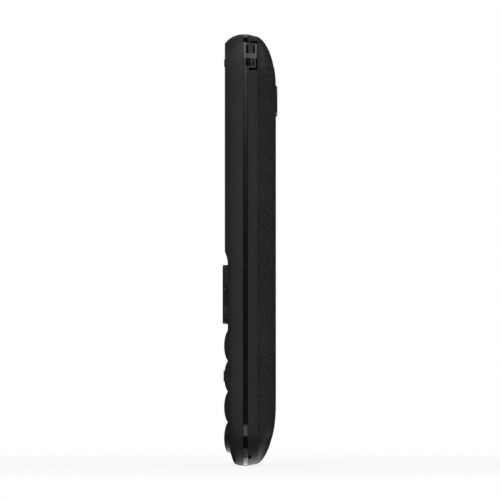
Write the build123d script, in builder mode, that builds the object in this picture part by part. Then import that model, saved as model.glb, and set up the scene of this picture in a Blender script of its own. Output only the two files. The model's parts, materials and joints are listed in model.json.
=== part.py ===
from build123d import *
import os
from math import cos, radians, sin, sqrt

# A bar-shaped keypad phone. It stands upright: +Z along its length, the front faces -Y,
# +X is the right-hand side seen from the front, and the origin is under its middle.

os.makedirs("parts", exist_ok=True)

# Overall size
phone_length = 118.0
phone_width = 50.0
top_corner = 11.0
bottom_corner = 12.0

# Depths, measured from the plane of the origin
band_front = -1.92
band_back = -0.55
housing_depth = 4.97
keypad_drop = 0.8
strip_depth = 2.6
back_bulge = 6.24
bezel_rise = 0.51

# Round-over of the front housing: how far it reaches in, and how deep the curve is
side_round = 12.0
top_round = 6.1
bottom_round_reach = 8.3
bottom_round_depth = 6.1
chin_radius = 21.0
chin_start = 9.1
keypad_edge_round = 0.9
keypad_end_inset = 0.04
front_steps = 6
keypad_end_steps = 6

# Dished back: reach of the curve at each edge, and its first slope
dish_reach_side = 7.5
dish_reach_top = 14.0
dish_reach_bottom = 16.3
dish_start = radians(12)
dish_corner_share = 0.5
dish_steps = 6
strip_inset_front = 0.05
strip_inset_side = 0.35
strip_inset_top = 0.65
strip_inset_bottom = 0.52

# Edges of the rear cover and of the glossy band
band_edge_round = 0.15
pry_notch_width = 0.95
pry_notch_z = (2.0, 3.4)
pry_notch_depth = 0.7
nail_recess_z = (5.0, 11.3)
nail_recess_depth = 0.2
grip_rib_heights = (34.0, 84.0)
grip_rib_length = 8.0
grip_rib_depth = 0.17
grip_rib_y = (0.2, 1.2)

# Walls and clearances
housing_wall = 1.3
plate_wall = 1.1
plate_side = 1.75
plate_top = 2.3
pocket_side = 2.2
pocket_top = 2.6
hollow_depth = 2.28
chin_shelf = 6.0
cover_wall = 1.0
frame_wall = 1.0
shell_clearance = 0.25
edge_clearance = 0.15
part_clearance = 0.1
close_gap = 0.05
overlap = 0.2
round_end = 0.4975
tongue_length = 1.08
tongue_clearance = 0.2

# Display window and display
window_thickness = 1.0
window_rim = 0.4
window_side = 2.7
window_top = 4.0
window_top_corner = 8.0
window_bottom_corner = 2.0
window_gap = 0.06
window_shelf = 0.5
window_pocket_rise = 1.8
window_pocket_corner = 0.5
bevel_gap = 0.7
bevel_height = 3.0
bevel_sag = 0.12
display_side = 6.7
display_gap = 0.4
display_drop = 11.2
view_side = 7.7
view_rim = 2.2
view_drop = 11.6
view_corner = 0.8
display_glass_thickness = 1.1
backlight_thickness = 1.0
tray_thickness = 0.4
tray_wall = 0.4
tray_lap = 0.3
tray_corner = 0.8
display_corner = 0.5
gasket_thickness = 0.3
gasket_outer_edge = 0.7
gasket_inner_edge = 0.1
gasket_gap = 0.04
ribbon_width = 16.0
ribbon_foot = 1.0
ribbon_drop = 0.9
ribbon_inset = 0.3
ribbon_thickness = 0.2

# Earpiece
earpiece_drop = 7.8
grille_width = 12.0
grille_height = 2.05
grille_rise = 0.2
grille_edge = 0.12
sound_slot_width = 10.0
sound_slot_height = 1.45
sound_slot_corner = 0.6
grille_holes = 7
grille_hole_pitch = 1.4
grille_hole_radius = 0.35
receiver_width = 12.0
receiver_height = 6.0
receiver_thickness = 2.4
receiver_corner = 2.0
receiver_edge = 0.3
receiver_rim = 2.0
receiver_hole_corner = 0.9
receiver_hole_depth = 0.5

# Number keys
keypad_bottom = 3.4
keypad_margin = 3.2
key_pitch = 8.4
key_gap = 0.4
key_clearance = 0.2
key_corner = 1.0
key_rise = 1.0
key_dome_height = 4.6
key_dome_depth = 1.83
key_dome_across = 40.0
key_dome_arc = (110, 140)
key_edge_round = 0.2
key_travel = 0.4
key_underside = -4.7
stem_radius = 1.0
nub_length = 2.9
nub_width = 0.9
nub_rise = 0.18

# Navigation keys
nav_gap = 1.7
nav_width = 19.0
nav_height = 16.2
nav_corner = 6.2
nav_rise = 1.41
nav_clearance = 0.25
nav_edge_round = 0.35
nav_reach = 7.0
nav_pip_radius = 0.9
ring_gap = 0.25
rocker_width = 9.2
rocker_thickness = 0.4
rocker_end_gap = 0.6
rocker_corner = 2.0
rocker_pip_inset = 0.2
rocker_hole_radius = 1.4
select_width = 7.4
select_height = 6.4
select_corner = 2.2
select_rise = 1.2
select_clearance = 0.3
select_rock_gap = 0.35
side_key_rib = 1.15
side_key_corner = 1.8
side_key_rise = 1.15
soft_key_height = 6.3
soft_key_offset = 4.65
call_key_height = 5.2
call_key_offset = 5.2
side_key_edge_round = 0.4

# Keypad web, dome film and domes
web_front = -4.25
web_thickness = 0.4
web_margin = 0.6
web_stem_clearance = 0.15
web_nav_gap = 0.5
web_top_corner = 2.0
dome_radius = 2.0
dome_rise = 0.25
film_thickness = 0.12
film_dome_clearance = 0.1
foot_radius = 0.6

# Main board
board_front = -2.4
board_thickness = 1.0
board_clearance = 0.25

# Battery and its bay
battery_side = 8.0
battery_cover_gap = 0.14
battery_clearance = 0.15
battery_end_clearance = 0.35
bay_bottom = 32.0
bay_top_drop = 32.0
bay_wall = 1.0
bay_floor_front = 0.05
bay_floor_thickness = 0.5
bay_height = 5.6
battery_edge_round = 0.8
contact_block_width = 10.0
contact_block_back = 3.0
contact_pitch = 2.8
contact_slot_depth = 1.2
contact_slot_half = 0.8
contact_blade_half = 0.4
contact_blade_inset = 0.4
contact_blade_gap = 0.2
contact_reach = 2.5
bay_contact_lap = 1.2

# Screws
screw_radius = 0.8
screw_hole_radius = 0.95
screw_head_radius = 1.4
screw_head_height = 0.6
screw_seat = -0.15
screw_bite = 2.0
screw_tip_gap = 0.1
screw_drive_share = 0.7
boss_radius = 1.5
boss_hole_radius = 0.85
boss_gap = 0.3
post_radius = 2.2
well_radius = 1.6
upper_screw_drop = 14.0
upper_screw_inset = 4.6
lower_screw_inset = 5.1

# Camera and flash lamp
camera_drop = 18.25
camera_x = -3.2
camera_size = 8.5
camera_body_corner = 0.6
camera_body_back = 3.2
barrel_radius = 3.0
barrel_rim = 0.8
barrel_recess = 0.5
barrel_lens_recess = 0.9
barrel_clearance = 0.2
barrel_drop = 0.59
bezel_width = 17.0
bezel_height = 8.5
bezel_corner = 3.6
bezel_chamfer = 0.3
camera_glass_radius = 2.8
camera_glass_thickness = 0.5
camera_glass_recess = 0.3
camera_glass_seat = 0.3
camera_bezel_gap = 0.15
flash_x = 4.6
flash_radius = 1.15
flash_flange_radius = 1.6
flash_flange_thickness = 0.5
flash_clearance = 0.08

# Vibration motor
motor_drop = 25.5
motor_left = 8.0
motor_length = 8.0
motor_radius = 2.1
motor_bore_radius = 0.45
motor_shaft_radius = 0.4
motor_bore_depth = 3.0
weight_radius = 1.95
weight_gap = 0.5
weight_length = 3.5
weight_cut = 0.2
weight_hub = 0.4
shaft_end_gap = 0.2

# Sockets
headset_x = -12.0
headset_drop = 4.4
headset_y = 0.35
headset_bore_radius = 1.78
headset_entry_radius = 1.85
headset_body_width = 6.2
headset_body_depth = 4.6
headset_body_length = 12.0
headset_bore_depth = 11.5
headset_body_corner = 0.6
headset_entry_lap = 0.5
headset_island_width = 6.6
headset_island_back = 2.7
charging_width = 7.5
charging_depth = 2.7
charging_length = 5.6
charging_recess = 0.6
charging_wall = 0.3
charging_mouth_depth = 4.4
charging_corner = 0.5
charging_tongue_y = (0.5, 1.1)
charging_tongue_side = 1.6
charging_tongue_recess = 0.8
charging_island_width = 11.6
charging_island_back = 1.85
island_clearance = 0.15
island_reach = 6.0
island_overshoot = 2.0

# Strap bar at the upper right-hand corner
strap_island_low = 9.7
strap_island_high = 2.1
strap_island_width = 11.0
strap_island_back = 1.85
strap_front = -1.1
strap_upper_hole = (2.5, 5.3)
strap_lower_hole = (6.6, 8.8)
strap_upper_back = 1.37
strap_lower_back = 1.1
strap_pocket_depth = 5.0
strap_bar_depth = 2.4
strap_rib_depth = 0.9
strap_rib_half = 0.7
strap_hole_round = 0.35
strap_rib_middle = 0.13
strap_rib_ends = (0.2, 0.6)
strap_backing_width = 1.6
strap_backing_ends = (0.9, 0.5)
strap_step_depth = 1.0
strap_step_side = 0.25
strap_step_height = 0.5
strap_step_front = -0.3

# Loudspeaker, antenna and microphone
speaker_width = 15.0
speaker_height = 11.0
speaker_thickness = 3.5
speaker_centre = 23.7
speaker_slot_width = 8.0
speaker_slot_height = 0.9
speaker_slot_pitch = 1.7
speaker_slots = 4
speaker_corner = 2.5
speaker_edge = 0.4
speaker_seat_gap = 0.09
cone_rim = 1.5
cone_corner = 2.0
cone_depth = 0.5
mesh_thickness = 0.12
mesh_margin = 1.0
carrier_side = 7.5
carrier_bottom = 9.0
carrier_top = 30.3
carrier_floor = 0.45
carrier_thickness = 0.6
carrier_block_top = 17.0
carrier_block_drop = 1.34
carrier_wall = 0.8
carrier_foot_inset = 1.2
carrier_foot_radius = 1.1
antenna_thickness = 0.12
antenna_side = 1.0
antenna_ends = (0.8, 0.6)
antenna_slit_start = 2.8
antenna_slit_pitch = 2.3
antenna_slit_height = 0.6
antenna_track = 2.0
microphone_x = -9.0
microphone_height = 6.2
microphone_radius = 1.6
microphone_thickness = 1.2
boot_wall = 0.5
boot_hole_radius = 0.5
microphone_port = (0.4, 0.3)

# Card holders, shields and chips
holder_wall = 0.3
sim_width = 15.6
sim_height = 16.0
sim_gap = 2.2
card_width = 14.0
card_height = 13.4
card_gap = 1.4
card_opening_gap = 0.25
holder_side = 0.6
holder_foot = 1.2
holder_window_rim = 2.5
holder_window_corner = 1.0
shield_drop = 19.5
shield_height = 19.4
shield_wall = 0.2
shield_gap = 2.0
shield_margin = 2.4
chip_height = 0.7
chip_places = (
    (-13.5, 3.0, 4.0),
    (-5.5, -4.0, 2.6),
    (-13.0, -5.5, 2.4),
    (7.5, 1.5, 5.0),
    (16.0, 4.5, 2.2),
    (15.5, -4.5, 2.8),
)

# Worked-out depths
front_face = band_front - housing_depth
keypad_face = front_face + keypad_drop
crease = band_back + strip_depth
dish_middle = crease - back_bulge * sin(dish_start)
back_face = dish_middle + back_bulge
cover_inside = back_face - cover_wall
frame_inset = cover_wall + shell_clearance
frame_back = back_face - frame_inset
deck_front = frame_back - frame_wall
carrier_block_back = deck_front - carrier_block_drop
speaker_back = deck_front - part_clearance
speaker_front = speaker_back - speaker_thickness
plate_inside = keypad_face + plate_wall
window_seat = front_face + window_thickness
shelf_back = window_seat + window_shelf
board_back = board_front + board_thickness
key_apex = keypad_face - key_rise
dome_top = board_front - dome_rise
hollow_front = band_front - hollow_depth
stem_end = dome_top - key_travel - close_gap
battery_front = bay_floor_front + bay_floor_thickness + part_clearance
battery_thickness = cover_inside - battery_cover_gap - battery_front
barrel_back = back_face - barrel_drop

# Worked-out widths
half_width = phone_width / 2
column_pitch = (phone_width - 2 * keypad_margin - 2 * key_clearance + key_gap) / 3
key_field_corner = key_pitch - key_gap
side_key_left = nav_width / 2 + nav_clearance + side_key_rib
side_key_right = half_width - keypad_margin - key_clearance
side_key_width = side_key_right - side_key_left
side_key_centre = (side_key_right + side_key_left) / 2
display_width = phone_width - 2 * display_side
view_width = phone_width - 2 * view_side
battery_width = phone_width - 2 * battery_side
bay_width = battery_width + 2 * battery_clearance
strap_island_left = half_width - strap_island_width
strap_pocket_left = half_width - strap_pocket_depth
strap_pocket_right = half_width - strap_bar_depth
carrier_width = phone_width - 2 * carrier_side

# Worked-out heights: the keys stand on each other, and the display fills what is left above
keypad_top = keypad_bottom + 4 * key_pitch - key_gap + 2 * key_clearance
nav_centre = keypad_top + nav_gap + nav_height / 2
soft_key_centre = nav_centre + soft_key_offset
call_key_centre = nav_centre - call_key_offset
lower_screw_height = (soft_key_centre - soft_key_height / 2 + call_key_centre + call_key_height / 2) / 2
bevel_bottom = nav_centre + nav_height / 2 + bevel_gap
bevel_top = bevel_bottom + bevel_height
window_bottom = bevel_top + window_rim
window_pocket_bottom = bevel_bottom + window_pocket_rise
display_bottom = window_pocket_bottom + display_gap
display_length = phone_length - display_drop - display_bottom
view_bottom = window_bottom + view_rim
view_length = phone_length - view_drop - view_bottom
view_middle = view_bottom + view_length / 2
earpiece_height = phone_length - earpiece_drop
camera_height = phone_length - camera_drop
bay_top = phone_length - bay_top_drop
battery_length = bay_top - bay_bottom - 2 * battery_end_clearance
shield_bottom = bay_top - shield_drop
sim_bottom = bay_bottom + sim_gap
card_bottom = sim_bottom + sim_height + card_gap


def level(y):
    # Sketch plane across the phone at depth y: its x is X and its y is Z.
    return Plane.XZ.offset(-y)


def outline(y, side, top, bottom, top_radius, bottom_radius):
    # The phone's rounded outline at depth y, drawn in at the sides, the top and the bottom.
    with BuildSketch(level(y)) as shape:
        with Locations((0, (phone_length - top + bottom) / 2)):
            Rectangle(phone_width - 2 * side, phone_length - top - bottom)
        fillet(shape.vertices().group_by(Axis.Y)[-1], top_radius)
        fillet(shape.vertices().group_by(Axis.Y)[0], bottom_radius)
    return shape.sketch


def even_outline(y, side, top, bottom):
    # An outline drawn in evenly enough that its corners shrink with its sides.
    return outline(y, side, top, bottom, top_corner - side, bottom_corner - side)


def rounded(y, x, z, width, height, radius):
    # A rounded rectangle at depth y.
    with BuildSketch(level(y)) as shape:
        with Locations((x, z)):
            RectangleRounded(width, height, radius)
    return shape.sketch


def block(x_span, y_span, z_span, mode=Mode.ADD):
    # A square-cornered block between two values along each axis.
    with BuildSketch(level(y_span[1])) as shape:
        with Locations(((x_span[0] + x_span[1]) / 2, (z_span[0] + z_span[1]) / 2)):
            Rectangle(x_span[1] - x_span[0], z_span[1] - z_span[0])
    extrude(shape.sketch, amount=y_span[1] - y_span[0], mode=mode)


def pad(x, z, width, height, radius, y_span, mode=Mode.ADD):
    # A slab with rounded corners, from its front to its back depth.
    extrude(rounded(y_span[1], x, z, width, height, radius), amount=y_span[1] - y_span[0], mode=mode)


def peg(x, z, radius, y_span, mode=Mode.ADD):
    # A round peg through the phone's thickness.
    with BuildSketch(level(y_span[1])) as shape:
        with Locations((x, z)):
            Circle(radius)
    extrude(shape.sketch, amount=y_span[1] - y_span[0], mode=mode)


def write(piece, name):
    # Label one finished piece and write it under its own name.
    piece.part.label = name
    export_step(piece.part, f"parts/{name}.step")


# Front housing


def round_over(depth, reach, curve_depth):
    # How far a quarter-ellipse edge has drawn in at this depth.
    return reach * (1 - sqrt(1 - (depth / curve_depth) ** 2))


def front_outline(y, wall):
    # Outline of the front housing at depth y, or of its hollow when wall is not zero.
    depth = band_front - y
    side = round_over(depth, side_round, side_round)
    top = round_over(depth, top_round, top_round)
    bottom = round_over(depth, bottom_round_reach, bottom_round_depth)
    top_radius = top_corner - (side + top) / 2 - wall
    bottom_radius = bottom_corner - (side + bottom) / 2 - wall
    return outline(y, side + wall, top + wall, bottom + wall, top_radius, bottom_radius)


def front_loft(y_levels, wall, mode=Mode.ADD):
    # Smooth body through the outlines at these depths.
    loft([front_outline(y, wall) for y in y_levels], mode=mode)


def window_end():
    # The raised window end, cut off square below its bevel.
    far = front_face - 2
    below = -2.0
    behind = band_front + 1
    with BuildPart() as body:
        front_loft([band_front - housing_depth * i / front_steps for i in range(front_steps + 1)], 0)
        with BuildSketch(Plane.YZ.offset(-half_width - 1)) as shape:
            with BuildLine():
                Line((far, bevel_top), (front_face, bevel_top))
                SagittaArc((front_face, bevel_top), (keypad_face, bevel_bottom), bevel_sag)
                Polyline((keypad_face, bevel_bottom), (behind, bevel_bottom), (behind, below), (far, below))
                Line((far, below), (far, bevel_top))
            make_face()
        extrude(shape.sketch, amount=phone_width + 2, mode=Mode.SUBTRACT)
    return body.part


def keypad_end_outline(behind_face):
    # Outline of the keypad end, given how far behind its flat face it lies. Its rim is
    # rounded, its lower edge falls away along the curve of the chin, and its sides stand in
    # a little from those of the window end so that the two never cross.
    y = keypad_face + behind_face
    depth = band_front - y
    side = round_over(depth, side_round, side_round) + keypad_end_inset
    bottom = round_over(depth, bottom_round_reach, bottom_round_depth)
    if behind_face < keypad_edge_round:
        side += keypad_edge_round - sqrt(2 * keypad_edge_round * behind_face - behind_face**2)
    bottom = max(bottom, chin_start - sqrt(2 * chin_radius * behind_face - behind_face**2))
    return outline(y, side, side, bottom, top_corner - side, bottom_corner - (side + bottom) / 2)


def keypad_end():
    # The lowered keypad end, up to the foot of the bevel.
    rim = [keypad_edge_round * (1 - cos(radians(18 * i))) for i in range(6)]
    left = band_front - keypad_face - keypad_edge_round
    rest = [keypad_edge_round + left * i / keypad_end_steps for i in range(1, keypad_end_steps + 1)]
    with BuildPart() as body:
        loft([keypad_end_outline(behind_face) for behind_face in rim + rest])
        above = (bevel_bottom, phone_length + 1)
        across = (-half_width - 1, half_width + 1)
        block(across, (keypad_face - 1, band_front + 1), above, Mode.SUBTRACT)
    return body.part


def keypad_area(y, clearance):
    # Outline of the number-key area: square at the top, following the phone at the bottom.
    margin = keypad_margin + clearance
    with BuildSketch(level(y)) as shape:
        low = keypad_bottom + clearance
        high = keypad_top - clearance
        with Locations((0, (low + high) / 2)):
            Rectangle(phone_width - 2 * margin, high - low)
        fillet(shape.vertices().group_by(Axis.Y)[0], key_field_corner + key_clearance - clearance)
    return shape.sketch


def side_key_places():
    # Name, x, z, height of the two soft keys and of the call and end keys.
    return [
        ("soft_key_left", -side_key_centre, soft_key_centre, soft_key_height),
        ("soft_key_right", side_key_centre, soft_key_centre, soft_key_height),
        ("call_key", -side_key_centre, call_key_centre, call_key_height),
        ("end_key", side_key_centre, call_key_centre, call_key_height),
    ]


def screw_places():
    # The four frame screws, as x, z.
    upper = (half_width - upper_screw_inset, phone_length - upper_screw_drop)
    lower = (half_width - lower_screw_inset, lower_screw_height)
    return [(side * x, z) for x, z in (upper, lower) for side in (-1, 1)]


def window_shape(y, gap):
    # Outline of the display window, or of its seat when the gap is zero.
    top_radius = window_top_corner - gap
    bottom_radius = window_bottom_corner - gap
    return outline(y, window_side + gap, window_top + gap, window_bottom + gap, top_radius, bottom_radius)


with BuildPart() as front_housing:
    add(window_end())
    add(keypad_end())

    # Hollow: wide at the back, then stepped forward under the keypad and under the window
    middle_depth = (band_front + hollow_front) / 2
    front_loft([band_front, middle_depth, hollow_front], housing_wall, Mode.SUBTRACT)
    keypad_hollow = even_outline(hollow_front, plate_side, plate_top, chin_shelf)
    extrude(keypad_hollow, amount=hollow_front - plate_inside, mode=Mode.SUBTRACT)
    pocket_radii = top_corner - pocket_side, window_pocket_corner
    window_hollow = outline(plate_inside, pocket_side, pocket_top, window_pocket_bottom, *pocket_radii)
    extrude(window_hollow, amount=plate_inside - shelf_back, mode=Mode.SUBTRACT)

    # Window seat, the view through it and the slot for the earpiece
    extrude(window_shape(window_seat, 0), amount=window_seat - front_face + 1, mode=Mode.SUBTRACT)
    view_span = (window_seat - 1, shelf_back + 1)
    pad(0, view_middle, view_width, view_length, view_corner, view_span, Mode.SUBTRACT)
    sound_slot = sound_slot_width, sound_slot_height, sound_slot_corner
    pad(0, earpiece_height, *sound_slot, view_span, Mode.SUBTRACT)

    # Openings for the keys
    through = (key_apex - 1, hollow_front + overlap)
    extrude(keypad_area(through[1], 0), amount=through[1] - through[0], mode=Mode.SUBTRACT)
    nav_opening = nav_width + 2 * nav_clearance, nav_height + 2 * nav_clearance
    pad(0, nav_centre, *nav_opening, nav_corner + nav_clearance, through, Mode.SUBTRACT)
    for name, x, z, height in side_key_places():
        opening = side_key_width + 2 * key_clearance, height + 2 * key_clearance
        pad(x, z, *opening, side_key_corner + key_clearance, through, Mode.SUBTRACT)

    # Screw bosses
    boss_end = board_front - close_gap
    for x, z in screw_places():
        boss_root = plate_inside if z < window_pocket_bottom else shelf_back
        peg(x, z, boss_radius, (boss_root - overlap, boss_end))
    for x, z in screw_places():
        peg(x, z, boss_hole_radius, (boss_end - screw_bite, board_front), Mode.SUBTRACT)
write(front_housing, "front_housing")

# Display window, earpiece grille and receiver

with BuildPart() as display_window:
    extrude(window_shape(window_seat, window_gap), amount=window_seat - front_face)
    slot_size = grille_width + 2 * part_clearance, grille_height + 2 * part_clearance
    slot_span = (front_face - 1, window_seat)
    pad(0, earpiece_height, *slot_size, slot_size[1] * round_end, slot_span, Mode.SUBTRACT)
write(display_window, "display_window")

with BuildPart() as earpiece_grille:
    grille_front = front_face - grille_rise
    grille_end = grille_height * round_end
    pad(0, earpiece_height, grille_width, grille_height, grille_end, (grille_front, window_seat))
    chamfer(earpiece_grille.faces().sort_by(Axis.Y)[0].edges(), grille_edge)
    for i in range(grille_holes):
        hole_x = (i - (grille_holes - 1) / 2) * grille_hole_pitch
        peg(hole_x, earpiece_height, grille_hole_radius, (grille_front - 1, window_seat), Mode.SUBTRACT)
write(earpiece_grille, "earpiece_grille")

with BuildPart() as earpiece_receiver:
    receiver_back = shelf_back + receiver_thickness
    receiver_size = receiver_width, receiver_height, receiver_corner
    pad(0, earpiece_height, *receiver_size, (shelf_back, receiver_back))
    fillet(earpiece_receiver.faces().sort_by(Axis.Y)[-1].edges(), receiver_edge)
    sound_hole = receiver_width - 2 * receiver_rim, receiver_height - 2 * receiver_rim
    sound_hole_span = (shelf_back, shelf_back + receiver_hole_depth)
    pad(0, earpiece_height, *sound_hole, receiver_hole_corner, sound_hole_span, Mode.SUBTRACT)
write(earpiece_receiver, "earpiece_receiver")

# Number keys


def key_places():
    # Name, column and row of the twelve number keys, rows counted from the bottom.
    names = ("star", "0", "hash", "7", "8", "9", "4", "5", "6", "1", "2", "3")
    return [(f"key_{name}", i % 3 - 1, i // 3) for i, name in enumerate(names)]


def key_centre(column, row):
    z = keypad_bottom + key_clearance + (key_pitch - key_gap) / 2 + row * key_pitch
    return column * column_pitch, z


def key_shape(column, row):
    # One cell of the number-key area, cut to the area's own outline.
    x, z = key_centre(column, row)
    width = column_pitch - key_gap
    height = key_pitch - key_gap
    near = key_corner / 2
    low = keypad_bottom + key_clearance
    high = keypad_top - key_clearance
    with BuildSketch(level(key_underside)) as shape:
        with Locations((0, (low + high) / 2)):
            Rectangle(phone_width - 2 * (keypad_margin + key_clearance), high - low)
        fillet(shape.vertices().group_by(Axis.Y)[0], key_field_corner)
        with Locations((x, z)):
            Rectangle(width, height, mode=Mode.INTERSECT)
        at_sides = shape.vertices().filter_by(lambda corner: abs(abs(corner.X - x) - width / 2) < near)
        corners = at_sides.filter_by(lambda corner: abs(abs(corner.Y - z) - height / 2) < near)
        fillet(corners, key_corner)
    return shape.sketch


def key_dome(x, z):
    # A drum whose near side bulges over one key, turned about an upright axis behind it.
    axis_y = key_apex + key_dome_across
    arc_start, arc_size = key_dome_arc
    with BuildSketch(Plane.YZ.offset(x)) as shape:
        with BuildLine() as edge:
            middle = (key_apex + key_dome_depth, z)
            arc = EllipticalCenterArc(middle, key_dome_depth, key_dome_height, arc_start, arc_size=arc_size)
            Polyline(arc @ 0, (axis_y, (arc @ 0).Y), (axis_y, (arc @ 1).Y), arc @ 1)
        make_face()
    revolve(shape.sketch, axis=Axis((x, axis_y, z), (0, 0, 1)))


for name, column, row in key_places():
    key_x, key_z = key_centre(column, row)
    with BuildPart() as number_key:
        key_dome(key_x, key_z)
        depth = key_underside - key_apex + 1
        extrude(key_shape(column, row), amount=depth, mode=Mode.INTERSECT)
        fillet(number_key.faces().sort_by(Axis.Y)[0].edges(), key_edge_round)
        if name == "key_5":
            nub_span = (key_apex - nub_rise, key_apex + overlap)
            pad(key_x, key_z, nub_width, nub_length, nub_width * round_end, nub_span)
        peg(key_x, key_z, stem_radius, (key_underside, stem_end))
    write(number_key, name)

# Soft keys, call and end keys

for name, key_x, key_z, height in side_key_places():
    with BuildPart() as side_key:
        side_key_span = (keypad_face - side_key_rise, key_underside)
        pad(key_x, key_z, side_key_width, height, side_key_corner, side_key_span)
        fillet(side_key.faces().sort_by(Axis.Y)[0].edges(), side_key_edge_round)
        peg(key_x, key_z, stem_radius, (key_underside, stem_end))
    write(side_key, name)

# Navigation ring, its rocker base and the select key

base_front = key_underside - close_gap
base_back = base_front + rocker_thickness
base_length = nav_height - 2 * rocker_end_gap
base_pip_reach = base_length / 2 - nav_pip_radius - rocker_pip_inset
ring_underside = base_front - ring_gap

with BuildPart() as navigation_ring:
    ring_span = (keypad_face - nav_rise, ring_underside)
    pad(0, nav_centre, nav_width, nav_height, nav_corner, ring_span)
    hole = select_width + 2 * select_clearance, select_height + 2 * select_clearance
    pad(0, nav_centre, *hole, select_corner + select_clearance, ring_span, Mode.SUBTRACT)
    fillet(navigation_ring.faces().sort_by(Axis.Y)[0].edges(), nav_edge_round)
    for side in (-1, 1):
        peg(side * nav_reach, nav_centre, nav_pip_radius, (ring_underside, stem_end))
write(navigation_ring, "navigation_ring")

with BuildPart() as rocker_base:
    pad(0, nav_centre, rocker_width, base_length, rocker_corner, (base_front, base_back))
    for side in (-1, 1):
        pip_z = nav_centre + side * base_pip_reach
        peg(0, pip_z, nav_pip_radius, (base_back, stem_end))
    peg(0, nav_centre, rocker_hole_radius, (base_front, base_back), Mode.SUBTRACT)
write(rocker_base, "rocker_base")

with BuildPart() as select_key:
    select_under = base_front - key_travel - select_rock_gap
    select_span = (keypad_face - select_rise, select_under)
    pad(0, nav_centre, select_width, select_height, select_corner, select_span)
    fillet(select_key.faces().sort_by(Axis.Y)[0].edges(), nav_edge_round)
    peg(0, nav_centre, stem_radius, (select_under, stem_end))
write(select_key, "select_key")

# Keypad web, dome film and domes


def press_points():
    # Where each key meets its dome, as x, z.
    numbers = [key_centre(column, row) for name, column, row in key_places()]
    sides = [(x, z) for name, x, z, height in side_key_places()]
    return numbers + sides


def nav_press_points():
    # Where the navigation keys meet their domes: right, left, up, down and the middle.
    around = [(nav_reach, 0), (-nav_reach, 0), (0, base_pip_reach), (0, -base_pip_reach), (0, 0)]
    return [(x, nav_centre + z) for x, z in around]


def web_feet():
    # Feet between the keys, from the web down to the dome film.
    columns = (-column_pitch / 2, column_pitch / 2)
    rows = [key_centre(0, row)[1] + key_pitch / 2 for row in range(3)]
    low = [(x, z) for x in columns for z in rows]
    return low + [(side * side_key_centre, nav_centre) for side in (-1, 1)]


web_back = web_front + web_thickness
web_top = nav_centre + nav_height / 2 + web_margin


def web_shape(y):
    # Outline that the rubber web and the dome film share.
    side = keypad_margin + web_margin
    bottom = keypad_bottom + web_margin
    return outline(y, side, phone_length - web_top, bottom, web_top_corner, key_field_corner)


with BuildPart() as keypad_web:
    extrude(web_shape(web_back), amount=web_thickness)
    nav_gap = nav_width + 2 * web_nav_gap, nav_height + 2 * web_nav_gap
    pad(0, nav_centre, *nav_gap, nav_corner, (web_front, web_back), Mode.SUBTRACT)
    for x, z in press_points():
        peg(x, z, stem_radius + web_stem_clearance, (web_front, web_back), Mode.SUBTRACT)
    for x, z in screw_places():
        if z < web_top:
            peg(x, z, boss_radius + boss_gap, (web_front, web_back), Mode.SUBTRACT)
    for x, z in web_feet():
        peg(x, z, foot_radius, (web_back, board_front - film_thickness))
write(keypad_web, "keypad_web")

with BuildPart() as dome_film:
    extrude(web_shape(board_front), amount=film_thickness)
    for x, z in press_points() + nav_press_points():
        hole_radius = dome_radius + film_dome_clearance
        peg(x, z, hole_radius, (board_front - film_thickness, board_front), Mode.SUBTRACT)
    for x, z in screw_places():
        if z < web_top:
            peg(x, z, boss_radius + boss_gap, (board_front - film_thickness, board_front), Mode.SUBTRACT)
write(dome_film, "dome_film")

with BuildPart() as key_domes:
    for x, z in press_points() + nav_press_points():
        with BuildSketch(Plane.YZ.offset(x)) as profile:
            with BuildLine():
                rim = [(board_front, z + dome_radius), (board_front, z - dome_radius)]
                ThreePointArc(rim[0], (board_front - dome_rise, z), rim[1])
                Line(rim[1], rim[0])
            make_face()
            with Locations((board_front, z - dome_radius)):
                Rectangle(4 * dome_radius, 2 * dome_radius, mode=Mode.SUBTRACT)
        revolve(profile.sketch, axis=Axis((x, 0, z), (0, 1, 0)))
write(key_domes, "key_domes")

# Display: glass, backlight, tray, gasket and ribbon

glass_front = shelf_back + gasket_thickness + gasket_gap
glass_back = glass_front + display_glass_thickness
backlight_back = glass_back + backlight_thickness
display_middle = display_bottom + display_length / 2
tray_back = backlight_back + tray_thickness
tray_width = display_width + 2 * tray_wall
tray_length = display_length + 2 * tray_wall

with BuildPart() as display_gasket:
    gasket_span = (shelf_back, shelf_back + gasket_thickness)
    gasket_size = view_width + 2 * gasket_outer_edge, view_length + 2 * gasket_outer_edge
    pad(0, view_middle, *gasket_size, view_corner, gasket_span)
    gasket_hole = view_width + 2 * gasket_inner_edge, view_length + 2 * gasket_inner_edge
    pad(0, view_middle, *gasket_hole, view_corner, gasket_span, Mode.SUBTRACT)
write(display_gasket, "display_gasket")

with BuildPart() as display_glass:
    pad(0, display_middle, display_width, display_length, display_corner, (glass_front, glass_back))
write(display_glass, "display_glass")

with BuildPart() as backlight:
    backlight_span = (glass_back, backlight_back)
    pad(0, display_middle, display_width, display_length, display_corner, backlight_span)
write(backlight, "backlight")

with BuildPart() as display_tray:
    tray_front = glass_back - tray_lap
    pad(0, display_middle, tray_width, tray_length, tray_corner, (tray_front, tray_back))
    inner = display_width + 2 * close_gap, display_length + 2 * close_gap
    inner_span = (tray_front - 1, backlight_back)
    pad(0, display_middle, *inner, display_corner, inner_span, Mode.SUBTRACT)
write(display_tray, "display_tray")

with BuildPart() as display_ribbon:
    ribbon_x = (-ribbon_width / 2, ribbon_width / 2)
    ribbon_z = display_bottom - ribbon_drop
    ribbon_front = glass_front + ribbon_inset
    foot_front = board_front - ribbon_thickness
    fold_z = (ribbon_z, ribbon_z + ribbon_thickness)
    block(ribbon_x, (ribbon_front, ribbon_front + ribbon_thickness), (ribbon_z, display_bottom))
    block(ribbon_x, (ribbon_front, foot_front), fold_z)
    block(ribbon_x, (foot_front, board_front), (ribbon_z - ribbon_foot, fold_z[1]))
write(display_ribbon, "display_ribbon")

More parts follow.
